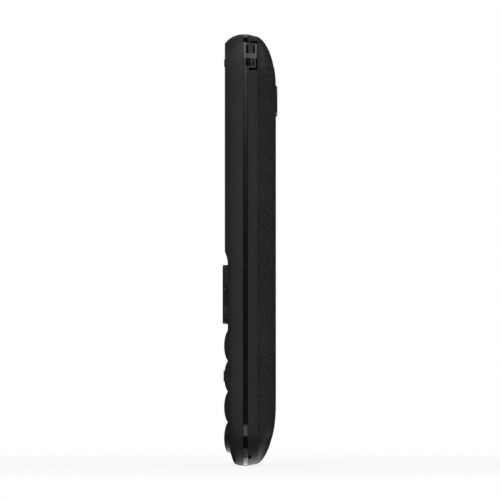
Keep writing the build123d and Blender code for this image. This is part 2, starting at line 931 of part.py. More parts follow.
# The dished back: one set of outlines serves the cover, its hollow and the frame inside it


def dish_inset(inset, reach, angle, depth_in):
    return inset + reach * cos(dish_start) - (reach - depth_in) * cos(angle)


def dish_outline(angle, depth_in):
    # Outline of the dished back at one angle along its curve, depth_in under its surface.
    y = dish_middle + (back_bulge - depth_in) * sin(angle)
    side = dish_inset(strip_inset_side, dish_reach_side, angle, depth_in)
    top = dish_inset(strip_inset_top, dish_reach_top, angle, depth_in)
    bottom = dish_inset(strip_inset_bottom, dish_reach_bottom, angle, depth_in)
    drawn = dish_inset(0, dish_reach_side, angle, 0)
    shrink = strip_inset_side + dish_corner_share * drawn + depth_in
    return outline(y, side, top, bottom, top_corner - shrink, bottom_corner - shrink)


def dish_outlines(depth_in):
    turn = radians(90) - dish_start
    return [dish_outline(dish_start + turn * i / dish_steps, depth_in) for i in range(dish_steps + 1)]


def hull(depth_in, front):
    # Body that fills the back to depth_in under its surface, straight-sided down to front.
    with BuildPart() as body:
        outlines = dish_outlines(depth_in)
        loft(outlines)
        first_y = dish_middle + (back_bulge - depth_in) * sin(dish_start)
        extrude(outlines[0], amount=first_y - front)
    return body.part


def cover_body():
    # The whole outside of the rear cover as a solid: smooth strip, then dished back.
    with BuildPart() as body:
        loft(dish_outlines(0))
        strip_front = even_outline(band_back, strip_inset_front, strip_inset_front, strip_inset_front)
        loft([strip_front, dish_outline(dish_start, 0)], ruled=True)
    return body.part


def frame_islands(gap):
    # Blocks where the frame shows through the cover's edge: strap bar and both sockets.
    far = island_overshoot
    top = phone_length + far
    headset_half = headset_island_width / 2 + gap
    charging_half = charging_island_width / 2 + gap
    strap_z = (phone_length - strap_island_low - gap, phone_length - strap_island_high + gap)
    strap_x = (strap_island_left - gap, half_width + far)
    headset_span = (headset_x - headset_half, headset_x + headset_half)
    charging_span = (-charging_half, charging_half)
    return [
        (strap_x, (band_back, strap_island_back + gap), strap_z),
        (headset_span, (band_back, headset_island_back + gap), (top - island_reach, top)),
        (charging_span, (band_back, charging_island_back + gap), (-far, island_reach - far)),
    ]


def islands_of_frame():
    # The islands, flush with the cover's outside.
    with BuildPart() as body:
        for x_span, y_span, z_span in frame_islands(0):
            block(x_span, y_span, z_span)
        add(cover_body(), mode=Mode.INTERSECT)
    return body.part


def hole_along_x(x_span, y_span, z_span, radius, mode):
    # A slot with rounded corners through the side of the phone.
    with BuildSketch(Plane.YZ.offset(x_span[0])) as shape:
        with Locations(((y_span[0] + y_span[1]) / 2, (z_span[0] + z_span[1]) / 2)):
            RectangleRounded(y_span[1] - y_span[0], z_span[1] - z_span[0], radius)
    extrude(shape.sketch, amount=x_span[1] - x_span[0], mode=mode)


def upright_hole(x, y, radius, z_span, mode=Mode.SUBTRACT):
    # A round hole or peg along the length of the phone.
    with BuildSketch(Plane.XY.offset(z_span[0])) as shape:
        with Locations((x, y)):
            Circle(radius)
    extrude(shape.sketch, amount=z_span[1] - z_span[0], mode=mode)


bay_x = (-bay_width / 2, bay_width / 2)
bay_z = (bay_bottom, bay_top)
floor_back = bay_floor_front + bay_floor_thickness
strap_z = (phone_length - strap_lower_hole[1], phone_length - strap_upper_hole[0])


def frame_fill():
    # What stands inside the frame's shell: battery tray, screw posts and strap backing.
    with BuildPart() as body:
        tray_x = (bay_x[0] - bay_wall, bay_x[1] + bay_wall)
        block(tray_x, (bay_floor_front, bay_height), (bay_bottom - bay_wall, bay_top + bay_wall))
        for x, z in screw_places():
            peg(x, z, post_radius, (board_back, back_face))
        backing_x = (strap_pocket_left - strap_backing_width, strap_pocket_left)
        backing_z = (strap_z[0] - strap_backing_ends[0], strap_z[1] + strap_backing_ends[1])
        block(backing_x, (board_back + part_clearance, strap_island_back), backing_z)
        add(hull(frame_inset, board_back), mode=Mode.INTERSECT)
    return body.part


def card_openings():
    # Openings in the bay floor over the two card holders.
    gap = card_opening_gap
    sim_x = sim_width / 2 + gap
    card_x = card_width / 2 + gap
    span = (bay_floor_front - 1, floor_back + overlap)
    block((-sim_x, sim_x), span, (sim_bottom - gap, sim_bottom + sim_height + gap), Mode.SUBTRACT)
    block((-card_x, card_x), span, (card_bottom - gap, card_bottom + card_height + gap), Mode.SUBTRACT)


def speaker_openings(width, height, y_span):
    # Row of sound slots over the loudspeaker.
    for i in range(speaker_slots):
        z = speaker_centre + (i - (speaker_slots - 1) / 2) * speaker_slot_pitch
        pad(0, z, width, height, height * round_end, y_span, Mode.SUBTRACT)


frame_hollow_side = dish_inset(strip_inset_side, dish_reach_side, dish_start, frame_inset + frame_wall)
frame_hollow_top = dish_inset(strip_inset_top, dish_reach_top, dish_start, frame_inset + frame_wall)
frame_hollow_bottom = dish_inset(strip_inset_bottom, dish_reach_bottom, dish_start, frame_inset + frame_wall)
tongue_front = band_front - tongue_length
socket_top = phone_length - headset_drop
socket_low = socket_top - headset_body_length
socket_half = headset_body_width / 2
socket_x = (headset_x - socket_half, headset_x + socket_half)
socket_y = (headset_y - headset_body_depth / 2, headset_y + headset_body_depth / 2)

with BuildPart() as middle_frame:
    extrude(even_outline(band_back, 0, 0, 0), amount=band_back - band_front)
    fillet(middle_frame.faces().filter_by(Axis.Y).edges(), band_edge_round)
    tongue_side = housing_wall + tongue_clearance
    tongue_root = band_front + overlap
    tongue = even_outline(tongue_root, tongue_side, tongue_side, tongue_side)
    extrude(tongue, amount=tongue_root - tongue_front)
    add(hull(frame_inset, band_back - overlap))
    add(islands_of_frame())
    add(hull(frame_inset + frame_wall, tongue_front - overlap), mode=Mode.SUBTRACT)
    add(frame_fill())

    # Battery bay with its openings, screw wells and screw holes
    block(bay_x, (floor_back, back_face), bay_z, Mode.SUBTRACT)
    card_openings()
    contact_x = contact_block_width / 2 + part_clearance
    contact_span = (bay_floor_front - 1, contact_block_back + part_clearance)
    contact_cut_z = (bay_top - bay_contact_lap, bay_top + bay_wall + overlap)
    block((-contact_x, contact_x), contact_span, contact_cut_z, Mode.SUBTRACT)
    for x, z in screw_places():
        peg(x, z, well_radius, (screw_seat, back_face + 1), Mode.SUBTRACT)
        peg(x, z, screw_hole_radius, (board_back - 1, back_face), Mode.SUBTRACT)

    # Camera barrel, flash lamp and loudspeaker openings in the deck
    barrel_hole = barrel_radius + barrel_clearance
    peg(camera_x, camera_height, barrel_hole, (deck_front - 1, back_face), Mode.SUBTRACT)
    flash_seat = frame_back - flash_flange_thickness / 2
    flange_hole = flash_flange_radius + part_clearance
    peg(flash_x, camera_height, flange_hole, (flash_seat, back_face), Mode.SUBTRACT)
    speaker_openings(speaker_slot_width, speaker_slot_height, (deck_front - 1, back_face))

    # Room for the headset socket, and socket openings through the top and the bottom
    pocket_x = (socket_x[0] - part_clearance, socket_x[1] + part_clearance)
    pocket_y = (socket_y[0] - part_clearance, socket_y[1] + part_clearance)
    pocket_z = (socket_low - part_clearance, socket_top + part_clearance)
    block(pocket_x, pocket_y, pocket_z, Mode.SUBTRACT)
    top_span = (phone_length - headset_drop - headset_entry_lap, phone_length + 1)
    upright_hole(headset_x, headset_y, headset_entry_radius, top_span)
    charging_half = charging_width / 2 + edge_clearance
    charging_span = (board_back - edge_clearance, board_back + charging_depth + edge_clearance)
    block((-charging_half, charging_half), charging_span, (-1, frame_hollow_bottom + 1), Mode.SUBTRACT)

    # Strap holes, the pocket behind the bar and the rib in it
    upper_z = (phone_length - strap_upper_hole[1], phone_length - strap_upper_hole[0])
    lower_z = (phone_length - strap_lower_hole[1], phone_length - strap_lower_hole[0])
    far_x = half_width + 1
    through_upper = (strap_front, strap_upper_back)
    through_lower = (strap_front, strap_lower_back)
    hole_along_x((strap_pocket_left, far_x), through_upper, upper_z, strap_hole_round, Mode.SUBTRACT)
    hole_along_x((strap_pocket_left, far_x), through_lower, lower_z, strap_hole_round, Mode.SUBTRACT)
    pocket_x = (strap_pocket_left, strap_pocket_right)
    hole_along_x(pocket_x, through_lower, (lower_z[0], upper_z[1]), strap_hole_round, Mode.SUBTRACT)
    rib_x = (strap_pocket_left - overlap, strap_pocket_left + strap_rib_depth)
    rib_y = (strap_rib_middle - strap_rib_half, strap_rib_middle + strap_rib_half)
    block(rib_x, rib_y, (lower_z[0] - strap_rib_ends[0], upper_z[1] - strap_rib_ends[1]))

    # Step round the lower corner of the strap island, where the gap to the cover is wider
    step_x = (half_width - strap_step_depth, far_x)
    step_y = (strap_island_back - strap_step_side, strap_island_back + overlap)
    step_low = phone_length - strap_island_low
    block(step_x, step_y, (step_low - overlap, lower_z[1]), Mode.SUBTRACT)
    step_y = (strap_step_front, step_y[1])
    block(step_x, step_y, (step_low - overlap, step_low + strap_step_height), Mode.SUBTRACT)
write(middle_frame, "middle_frame")

# Rear cover


def skin_cut(x_span, y_span, z_span, depth):
    # A block that only reaches depth into the side of the phone.
    with BuildPart() as body:
        block(x_span, y_span, z_span)
        core = even_outline(y_span[1], depth, depth, depth)
        extrude(core, amount=y_span[1] - y_span[0], mode=Mode.SUBTRACT)
    return body.part


with BuildPart() as rear_cover:
    add(cover_body())
    add(hull(cover_wall, band_back - 1), mode=Mode.SUBTRACT)
    for x_span, y_span, z_span in frame_islands(island_clearance):
        block(x_span, (y_span[0] - 1, y_span[1]), z_span, Mode.SUBTRACT)
    camera_hole = bezel_width + 2 * edge_clearance, bezel_height + 2 * edge_clearance
    cover_span = (cover_inside - 1, back_face + 1)
    pad(0, camera_height, *camera_hole, bezel_corner + edge_clearance, cover_span, Mode.SUBTRACT)
    speaker_openings(speaker_slot_width, speaker_slot_height, cover_span)
    notch_y = (band_back - 1, band_back + pry_notch_width)
    add(skin_cut((0, half_width), notch_y, pry_notch_z, pry_notch_depth), mode=Mode.SUBTRACT)
    add(skin_cut((0, half_width), notch_y, nail_recess_z, nail_recess_depth), mode=Mode.SUBTRACT)
    cover_side = half_width - dish_inset(strip_inset_side, dish_reach_side, dish_start, cover_wall)
    for side in (-1, 1):
        for z in grip_rib_heights:
            rib_edges = sorted((side * (cover_side - grip_rib_depth), side * (cover_side + overlap)))
            block(rib_edges, grip_rib_y, (z - grip_rib_length / 2, z + grip_rib_length / 2))
write(rear_cover, "rear_cover")

# Main board with its shields, chips and card holders

with BuildPart() as main_board:
    board_side = frame_hollow_side + board_clearance
    board_top = frame_hollow_top + board_clearance
    board_bottom = frame_hollow_bottom + board_clearance
    extrude(even_outline(board_back, board_side, board_top, board_bottom), amount=board_thickness)
    for x, z in screw_places():
        peg(x, z, screw_hole_radius, (board_front, board_back), Mode.SUBTRACT)
    notch_half = headset_body_width / 2 + part_clearance
    notch_x = (headset_x - notch_half, headset_x + notch_half)
    notch_low = phone_length - headset_drop - headset_body_length - part_clearance
    block(notch_x, (board_front, board_back), (notch_low, phone_length), Mode.SUBTRACT)
write(main_board, "main_board")

shield_back = bay_floor_front - part_clearance
shield_z = (shield_bottom, shield_bottom + shield_height)
shield_right = half_width - frame_hollow_side - shield_margin
shield_left = shield_gap / 2


def shield_can(side):
    # A thin pressed box, open towards the board.
    x_outer = sorted((side * shield_left, side * shield_right))
    x_inner = (x_outer[0] + shield_wall, x_outer[1] - shield_wall)
    z_inner = (shield_z[0] + shield_wall, shield_z[1] - shield_wall)
    block(x_outer, (board_back, shield_back), shield_z)
    block(x_inner, (board_back, shield_back - shield_wall), z_inner, Mode.SUBTRACT)


with BuildPart() as radio_shield:
    shield_can(-1)
write(radio_shield, "radio_shield")

with BuildPart() as processor_shield:
    shield_can(1)
write(processor_shield, "processor_shield")

with BuildPart() as chips:
    chip_row = shield_bottom + shield_height / 2
    chip_y = (board_back, board_back + chip_height)
    for chip_x, chip_z, chip_half in chip_places:
        z = chip_row + chip_z
        block((chip_x - chip_half, chip_x + chip_half), chip_y, (z - chip_half, z + chip_half))
write(chips, "chips")


def card_holder(width, height, bottom, back):
    # A pressed holder with a slot that the card slides down into.
    half = width / 2
    block((-half, half), (board_back, back), (bottom, bottom + height))
    slot_y = (board_back + holder_wall, back - holder_wall)
    slot_x = (-half + holder_side, half - holder_side)
    block(slot_x, slot_y, (bottom + holder_foot, bottom + height + 1), Mode.SUBTRACT)
    window = width - 2 * holder_window_rim, height - 2 * holder_window_rim
    window_span = (slot_y[1] - close_gap, back + overlap)
    pad(0, bottom + height / 2, *window, holder_window_corner, window_span, Mode.SUBTRACT)


with BuildPart() as sim_holder:
    card_holder(sim_width, sim_height, sim_bottom, floor_back - part_clearance)
write(sim_holder, "sim_holder")

with BuildPart() as memory_card_holder:
    card_holder(card_width, card_height, card_bottom, floor_back - part_clearance)
write(memory_card_holder, "memory_card_holder")

# Battery and its contacts

battery_z = (bay_bottom + battery_end_clearance, bay_bottom + battery_end_clearance + battery_length)
battery_back = battery_front + battery_thickness

with BuildPart() as battery:
    middle = (battery_z[0] + battery_z[1]) / 2
    pad(0, middle, battery_width, battery_length, battery_edge_round, (battery_front, battery_back))
    fillet(battery.faces().filter_by(Axis.Y).edges(), battery_edge_round / 2)
    for i in (-1, 0, 1):
        slot_x = (i * contact_pitch - contact_slot_half, i * contact_pitch + contact_slot_half)
        slot_y = (battery_front - 1, contact_block_back)
        block(slot_x, slot_y, (battery_z[1] - contact_slot_depth, battery_z[1] + 1), Mode.SUBTRACT)
write(battery, "battery")

with BuildPart() as battery_contacts:
    half = contact_block_width / 2
    contact_z = (bay_top + close_gap, bay_top + bay_wall + contact_reach)
    blade_low = battery_z[1] - contact_slot_depth + contact_blade_gap
    block((-half, half), (board_back, contact_block_back), contact_z)
    for i in (-1, 0, 1):
        blade_x = (i * contact_pitch - contact_blade_half, i * contact_pitch + contact_blade_half)
        blade_y = (floor_back + contact_blade_inset, contact_block_back - contact_blade_inset)
        block(blade_x, blade_y, (blade_low, contact_z[0] + overlap))
write(battery_contacts, "battery_contacts")

# Camera, its bezel and glass, and the flash lamp

glass_back_face = back_face + bezel_rise - camera_glass_recess
glass_seat = glass_back_face - camera_glass_thickness

with BuildPart() as camera_module:
    body_span = (board_back, camera_body_back)
    pad(camera_x, camera_height, camera_size, camera_size, camera_body_corner, body_span)
    peg(camera_x, camera_height, barrel_radius, (camera_body_back, barrel_back))
    recess_span = (barrel_back - barrel_recess, barrel_back)
    peg(camera_x, camera_height, barrel_radius - barrel_rim, recess_span, Mode.SUBTRACT)
    lens_span = (barrel_back - barrel_lens_recess, barrel_back)
    peg(camera_x, camera_height, barrel_radius / 2, lens_span, Mode.SUBTRACT)
write(camera_module, "camera_module")

with BuildPart() as camera_bezel:
    bezel_span = (frame_back, back_face + bezel_rise)
    pad(0, camera_height, bezel_width, bezel_height, bezel_corner, bezel_span)
    chamfer(camera_bezel.faces().sort_by(Axis.Y)[-1].edges(), bezel_chamfer)
    lens_hole = camera_glass_radius - camera_glass_seat
    barrel_pocket = (frame_back, glass_seat - camera_bezel_gap)
    peg(camera_x, camera_height, barrel_radius + camera_bezel_gap, barrel_pocket, Mode.SUBTRACT)
    peg(camera_x, camera_height, lens_hole, (frame_back, back_face + 1), Mode.SUBTRACT)
    glass_hole = camera_glass_radius + close_gap
    peg(camera_x, camera_height, glass_hole, (glass_seat, back_face + 1), Mode.SUBTRACT)
    flange_top = frame_back + flash_flange_thickness / 2 + part_clearance
    peg(flash_x, camera_height, flange_hole, (frame_back, flange_top), Mode.SUBTRACT)
    flash_hole = flash_radius + flash_clearance
    peg(flash_x, camera_height, flash_hole, (frame_back, back_face + 1), Mode.SUBTRACT)
write(camera_bezel, "camera_bezel")

with BuildPart() as camera_glass:
    peg(camera_x, camera_height, camera_glass_radius, (glass_seat, glass_back_face))
write(camera_glass, "camera_glass")

with BuildPart() as flash_lamp:
    flange_span = (flash_seat, flash_seat + flash_flange_thickness)
    peg(flash_x, camera_height, flash_flange_radius, flange_span)
    peg(flash_x, camera_height, flash_radius, (flange_span[1], glass_back_face))
write(flash_lamp, "flash_lamp")

# Vibration motor and its off-centre weight

motor_height = phone_length - motor_drop
motor_y = board_back + motor_radius + part_clearance


def along_x(radius, x_span, mode=Mode.ADD):
    # A round bar or bore on the motor's axis.
    with BuildSketch(Plane.YZ.offset(x_span[0])) as shape:
        with Locations((motor_y, motor_height)):
            Circle(radius)
    extrude(shape.sketch, amount=x_span[1] - x_span[0], mode=mode)


with BuildPart() as vibration_motor:
    motor_right = motor_left + motor_length
    along_x(motor_radius, (motor_left, motor_right))
    along_x(motor_bore_radius, (motor_right - motor_bore_depth, motor_right), Mode.SUBTRACT)
write(vibration_motor, "vibration_motor")

with BuildPart() as motor_weight:
    weight_x = (motor_right + weight_gap, motor_right + weight_gap + weight_length)
    along_x(weight_radius, weight_x)
    cut_y = (motor_y - weight_radius, motor_y + weight_radius)
    block(weight_x, cut_y, (motor_height - weight_radius, motor_height - weight_cut), Mode.SUBTRACT)
    along_x(motor_shaft_radius + weight_hub, weight_x)
    along_x(motor_shaft_radius, (motor_right - motor_bore_depth + shaft_end_gap, weight_x[0]))
write(motor_weight, "motor_weight")

# Headset socket and charging socket

with BuildPart() as headset_socket:
    block(socket_x, socket_y, (socket_low, socket_top))
    fillet(headset_socket.edges().filter_by(Axis.Z), headset_body_corner)
    upright_hole(headset_x, headset_y, headset_bore_radius, (socket_top - headset_bore_depth, socket_top))
write(headset_socket, "headset_socket")

with BuildPart() as charging_socket:
    half = charging_width / 2
    shell_y = (board_back, board_back + charging_depth)
    shell_z = (charging_recess, charging_recess + charging_length)
    block((-half, half), shell_y, shell_z)
    fillet(charging_socket.edges().filter_by(Axis.Z), charging_corner)
    mouth_x = (-half + charging_wall, half - charging_wall)
    mouth_y = (shell_y[0] + charging_wall, shell_y[1] - charging_wall)
    block(mouth_x, mouth_y, (0, charging_recess + charging_mouth_depth), Mode.SUBTRACT)
    tongue_x = (-half + charging_tongue_side, half - charging_tongue_side)
    tongue_y = (mouth_y[0] + charging_tongue_y[0], mouth_y[0] + charging_tongue_y[1])
    block(tongue_x, tongue_y, (charging_recess + charging_tongue_recess, shell_z[1]))
write(charging_socket, "charging_socket")

# Loudspeaker with its mesh, antenna carrier and antenna, microphone and boot

with BuildPart() as loudspeaker:
    speaker_span = (speaker_front, speaker_back)
    pad(0, speaker_centre, speaker_width, speaker_height, speaker_corner, speaker_span)
    fillet(loudspeaker.faces().sort_by(Axis.Y)[0].edges(), speaker_edge)
    cone = speaker_width - 2 * cone_rim, speaker_height - 2 * cone_rim
    cone_span = (speaker_back - cone_depth, speaker_back)
    pad(0, speaker_centre, *cone, cone_corner, cone_span, Mode.SUBTRACT)
write(loudspeaker, "loudspeaker")

with BuildPart() as speaker_mesh:
    mesh_width = speaker_slot_width + 2 * mesh_margin
    mesh_height = speaker_slots * speaker_slot_pitch + mesh_margin
    mesh_span = (frame_back, frame_back + mesh_thickness)
    pad(0, speaker_centre, mesh_width, mesh_height, mesh_margin, mesh_span)
write(speaker_mesh, "speaker_mesh")

carrier_half = carrier_width / 2
carrier_back = carrier_floor + carrier_thickness

with BuildPart() as antenna_carrier:
    block((-carrier_half, carrier_half), (carrier_floor, carrier_back), (carrier_bottom, carrier_top))
    block_z = (carrier_bottom, carrier_block_top)
    block((-carrier_half, carrier_half), (carrier_floor, carrier_block_back), block_z)
    hollow_x = (-carrier_half + carrier_wall, carrier_half - carrier_wall)
    hollow_z = (block_z[0] + carrier_wall, block_z[1] - carrier_wall)
    block(hollow_x, (carrier_floor, carrier_block_back - carrier_wall), hollow_z, Mode.SUBTRACT)
    seat = speaker_width + 2 * speaker_seat_gap, speaker_height + 2 * speaker_seat_gap
    seat_span = (speaker_front - speaker_seat_gap, speaker_back)
    pad(0, speaker_centre, *seat, speaker_corner, seat_span, Mode.SUBTRACT)
    for side in (-1, 1):
        for z in (carrier_bottom + carrier_foot_inset, carrier_top - carrier_foot_inset):
            foot_x = side * (carrier_half - carrier_foot_inset)
            peg(foot_x, z, carrier_foot_radius, (board_back, carrier_back))
write(antenna_carrier, "antenna_carrier")

with BuildPart() as antenna:
    antenna_y = (carrier_block_back, carrier_block_back + antenna_thickness)
    antenna_half = carrier_half - antenna_side
    antenna_z = (block_z[0] + antenna_ends[0], block_z[1] - antenna_ends[1])
    block((-antenna_half, antenna_half), antenna_y, antenna_z)
    for i, side in enumerate((-1, 1)):
        slit_z = block_z[0] + antenna_slit_start + antenna_slit_pitch * i
        slit_x = sorted((side * antenna_half, -side * (antenna_half - antenna_track)))
        block(slit_x, antenna_y, (slit_z, slit_z + antenna_slit_height), Mode.SUBTRACT)
write(antenna, "antenna")

with BuildPart() as microphone:
    microphone_span = (board_back, board_back + microphone_thickness)
    peg(microphone_x, microphone_height, microphone_radius, microphone_span)
    port_radius, port_depth = microphone_port
    port_span = (microphone_span[1] - port_depth, microphone_span[1])
    peg(microphone_x, microphone_height, port_radius, port_span, Mode.SUBTRACT)
write(microphone, "microphone")

with BuildPart() as microphone_boot:
    boot_radius = microphone_radius + close_gap + boot_wall
    boot_span = (board_back, microphone_span[1] + boot_wall)
    peg(microphone_x, microphone_height, boot_radius, boot_span)
    boot_hole = microphone_radius + close_gap
    peg(microphone_x, microphone_height, boot_hole, (board_back, microphone_span[1]), Mode.SUBTRACT)
    peg(microphone_x, microphone_height, boot_hole_radius, (board_back, boot_span[1]), Mode.SUBTRACT)
write(microphone_boot, "microphone_boot")

# Frame screws

with BuildPart() as frame_screws:
    screw_tip = board_front - screw_bite + screw_tip_gap
    for x, z in screw_places():
        peg(x, z, screw_head_radius, (screw_seat, screw_seat + screw_head_height))
        peg(x, z, screw_radius, (screw_tip, screw_seat))
        with BuildSketch(level(screw_seat + screw_head_height)) as drive:
            with Locations((x, z)):
                RegularPolygon(screw_radius * screw_drive_share, 6)
        extrude(drive.sketch, amount=screw_head_height / 2, mode=Mode.SUBTRACT)
write(frame_screws, "frame_screws")
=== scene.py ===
# Keypad phone: finishes, printed marks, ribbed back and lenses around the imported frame
import json
import math

import bmesh
import bpy
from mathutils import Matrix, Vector
from mathutils.bvhtree import BVHTree


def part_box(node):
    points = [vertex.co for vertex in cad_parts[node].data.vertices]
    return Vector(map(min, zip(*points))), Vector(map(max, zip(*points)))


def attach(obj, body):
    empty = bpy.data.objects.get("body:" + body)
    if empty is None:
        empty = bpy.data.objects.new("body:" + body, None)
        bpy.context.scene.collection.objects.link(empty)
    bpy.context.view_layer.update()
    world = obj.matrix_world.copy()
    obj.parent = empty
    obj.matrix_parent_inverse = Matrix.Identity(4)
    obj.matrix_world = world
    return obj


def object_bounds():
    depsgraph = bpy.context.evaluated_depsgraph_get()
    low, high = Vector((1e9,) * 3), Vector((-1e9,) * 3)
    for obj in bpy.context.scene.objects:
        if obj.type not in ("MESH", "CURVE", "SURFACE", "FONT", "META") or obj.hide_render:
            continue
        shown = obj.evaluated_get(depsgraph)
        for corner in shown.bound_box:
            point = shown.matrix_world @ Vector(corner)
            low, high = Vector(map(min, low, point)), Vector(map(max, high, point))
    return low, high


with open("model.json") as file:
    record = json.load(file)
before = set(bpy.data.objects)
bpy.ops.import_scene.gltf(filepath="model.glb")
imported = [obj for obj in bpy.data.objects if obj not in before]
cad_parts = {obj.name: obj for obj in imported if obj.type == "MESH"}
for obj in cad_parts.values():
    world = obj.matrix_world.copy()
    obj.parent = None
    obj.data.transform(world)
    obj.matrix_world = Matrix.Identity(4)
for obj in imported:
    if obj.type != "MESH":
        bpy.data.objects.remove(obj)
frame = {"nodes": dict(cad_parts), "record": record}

mm = 0.001
nodes = frame["nodes"]
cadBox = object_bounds()
middle = (cadBox[0] + cadBox[1]) / 2
nearly = 1e-7            # metres: points closer than this are one
print("frame loaded:", len(nodes), "nodes")


# Camera: a long lens on the +X side, level with the middle of the phone
camera = {"distance": 5.6, "height": 0.059, "frameWidth": 0.13708, "sensor": 36.0,
          "clip": (1.0, 100.0)}


def makeCamera(c):
    data = bpy.data.cameras.new("sideCamera")
    data.sensor_width = c["sensor"]
    data.lens = c["sensor"] * c["distance"] / c["frameWidth"]
    data.clip_start, data.clip_end = c["clip"]
    cam = bpy.data.objects.new("sideCamera", data)
    bpy.context.scene.collection.objects.link(cam)
    cam.location = (c["distance"], 0, c["height"])
    cam.rotation_euler = (math.radians(90), 0, math.radians(90))
    bpy.context.scene.camera = cam


makeCamera(camera)
bpy.context.scene.view_settings.view_transform = "Standard"


# Node helpers
def addNode(tree, kind, **settings):
    node = tree.nodes.new(kind)
    for key, value in settings.items():
        if key in node.bl_rna.properties:
            setattr(node, key, value)
        else:
            node.inputs[key].default_value = value
    return node


def blankMaterial(name):
    made = bpy.data.materials.new(name)
    made.use_nodes = True
    tree = made.node_tree
    return made, tree, tree.nodes["Principled BSDF"]


def pointInPart(tree):
    return addNode(tree, "ShaderNodeTexCoord").outputs["Object"]


def splitPoint(tree, place):
    made = addNode(tree, "ShaderNodeSeparateXYZ")
    tree.links.new(place, made.inputs[0])
    return made.outputs


def noise(tree, place, scale, detail=3.0, rough=0.5):
    made = addNode(tree, "ShaderNodeTexNoise", Scale=scale, Detail=detail, Roughness=rough)
    tree.links.new(place, made.inputs["Vector"])
    return made.outputs["Fac"]


def calc(tree, operation, *values):
    made = addNode(tree, "ShaderNodeMath", operation=operation)
    for socket, value in zip(made.inputs, values):
        if hasattr(value, "links"):
            tree.links.new(value, socket)
        else:
            socket.default_value = value
    return made.outputs[0]


def plus(tree, first, second):
    return calc(tree, "ADD", first, second)


def minus(tree, first, second):
    return calc(tree, "SUBTRACT", first, second)


def times(tree, first, second):
    return calc(tree, "MULTIPLY", first, second)


def larger(tree, first, second):
    return calc(tree, "MAXIMUM", first, second)


def lengthOf(tree, first, second):
    return calc(tree, "SQRT", plus(tree, times(tree, first, first), times(tree, second, second)))


def spread(tree, value, low, high, start=0.3, end=0.7):
    # Takes start...end to low...high; plain noise mostly lies between 0.3 and 0.7
    made = addNode(tree, "ShaderNodeMapRange")
    for socket, number in zip(("From Min", "From Max", "To Min", "To Max"),
                              (start, end, low, high)):
        made.inputs[socket].default_value = number
    tree.links.new(value, made.inputs["Value"])
    return made.outputs["Result"]


def above(tree, value, level, soft):
    # 0 under the level and 1 over it
    return spread(tree, value, 0.0, 1.0, level - soft, level + soft)


def below(tree, value, level, soft):
    return spread(tree, value, 1.0, 0.0, level - soft, level + soft)


def between(tree, value, low, high, soft):
    return times(tree, above(tree, value, low, soft), below(tree, value, high, soft))


def roundedArea(tree, across, up, area):
    # 1 inside a rounded rectangle, from its distance field
    past = []
    for value, centre, half in zip((across, up), area["centre"], area["half"]):
        away = calc(tree, "ABSOLUTE", minus(tree, value, centre))
        past.append(larger(tree, minus(tree, away, half - area["corner"]), 0.0))
    return below(tree, lengthOf(tree, *past), area["corner"], area["soft"])


def blendColour(tree, share, first, second):
    made = addNode(tree, "ShaderNodeMix", data_type="RGBA")
    tree.links.new(share, made.inputs["Factor"])
    for socket, value in ((made.inputs[6], first), (made.inputs[7], second)):   # colours A and B
        if hasattr(value, "links"):
            tree.links.new(value, socket)
        else:
            socket.default_value = (*value, 1.0)
    return made.outputs[2]


def clouded(tree, cloud, look):
    return blendColour(tree, spread(tree, cloud, 0.0, 1.0), look["dark"], look["light"])


def bump(tree, height, distance, strength=1.0, before=None):
    made = addNode(tree, "ShaderNodeBump", Strength=strength, Distance=distance)
    tree.links.new(height, made.inputs["Height"])
    if before is not None:
        tree.links.new(before, made.inputs["Normal"])
    return made.outputs["Normal"]


# Finishes. In every look dark and light are the tones, cloud is the scale of a soft noise, grain
# that of a fine one (with its detail and roughness), gloss the range of the roughness, and depth
# and strength the relief
spark = {"detail": 4.0, "rough": 0.6, "share": 0.25, "start": 0.52, "end": 0.75}
plainSockets = {"shine": "Specular IOR Level", "coat": "Coat Weight", "coatGloss": "Coat Roughness",
                "bending": "IOR", "metallic": "Metallic", "glassy": "Transmission Weight"}


def startFinish(name):
    made, tree, shader = blankMaterial(name)
    return made, tree, shader, pointInPart(tree)


def softCloud(tree, place, look):
    return noise(tree, place, look["cloud"], 2.0)


def dress(tree, shader, look, colour, worn, relief):
    # Colour, with roughness from one noise and relief from another
    tree.links.new(colour, shader.inputs["Base Color"])
    tree.links.new(spread(tree, worn, *look["gloss"]), shader.inputs["Roughness"])
    height = bump(tree, relief, look["depth"], look.get("strength", 1.0))
    tree.links.new(height, shader.inputs["Normal"])
    setPlain(shader, look)


def setPlain(shader, look):
    for key, socket in plainSockets.items():
        if key in look:
            shader.inputs[socket].default_value = look[key]


def flecked(tree, speck, tone, colour):
    # Light flecks of the spark texture over a tone
    fleck = spread(tree, speck, 0.0, spark["share"], spark["start"], spark["end"])
    return blendColour(tree, fleck, tone, colour)


def mouldedPlastic(name, look):
    # Moulded plastic with a fine spark texture: tone, gloss and grain all vary a little
    made, tree, shader, place = startFinish(name)
    cloud = softCloud(tree, place, look)
    speck = noise(tree, place, look["grain"], spark["detail"], spark["rough"])
    colour = flecked(tree, speck, clouded(tree, cloud, look), look["fleck"])
    dress(tree, shader, look, colour, times(tree, plus(tree, cloud, speck), 0.5), speck)
    return made


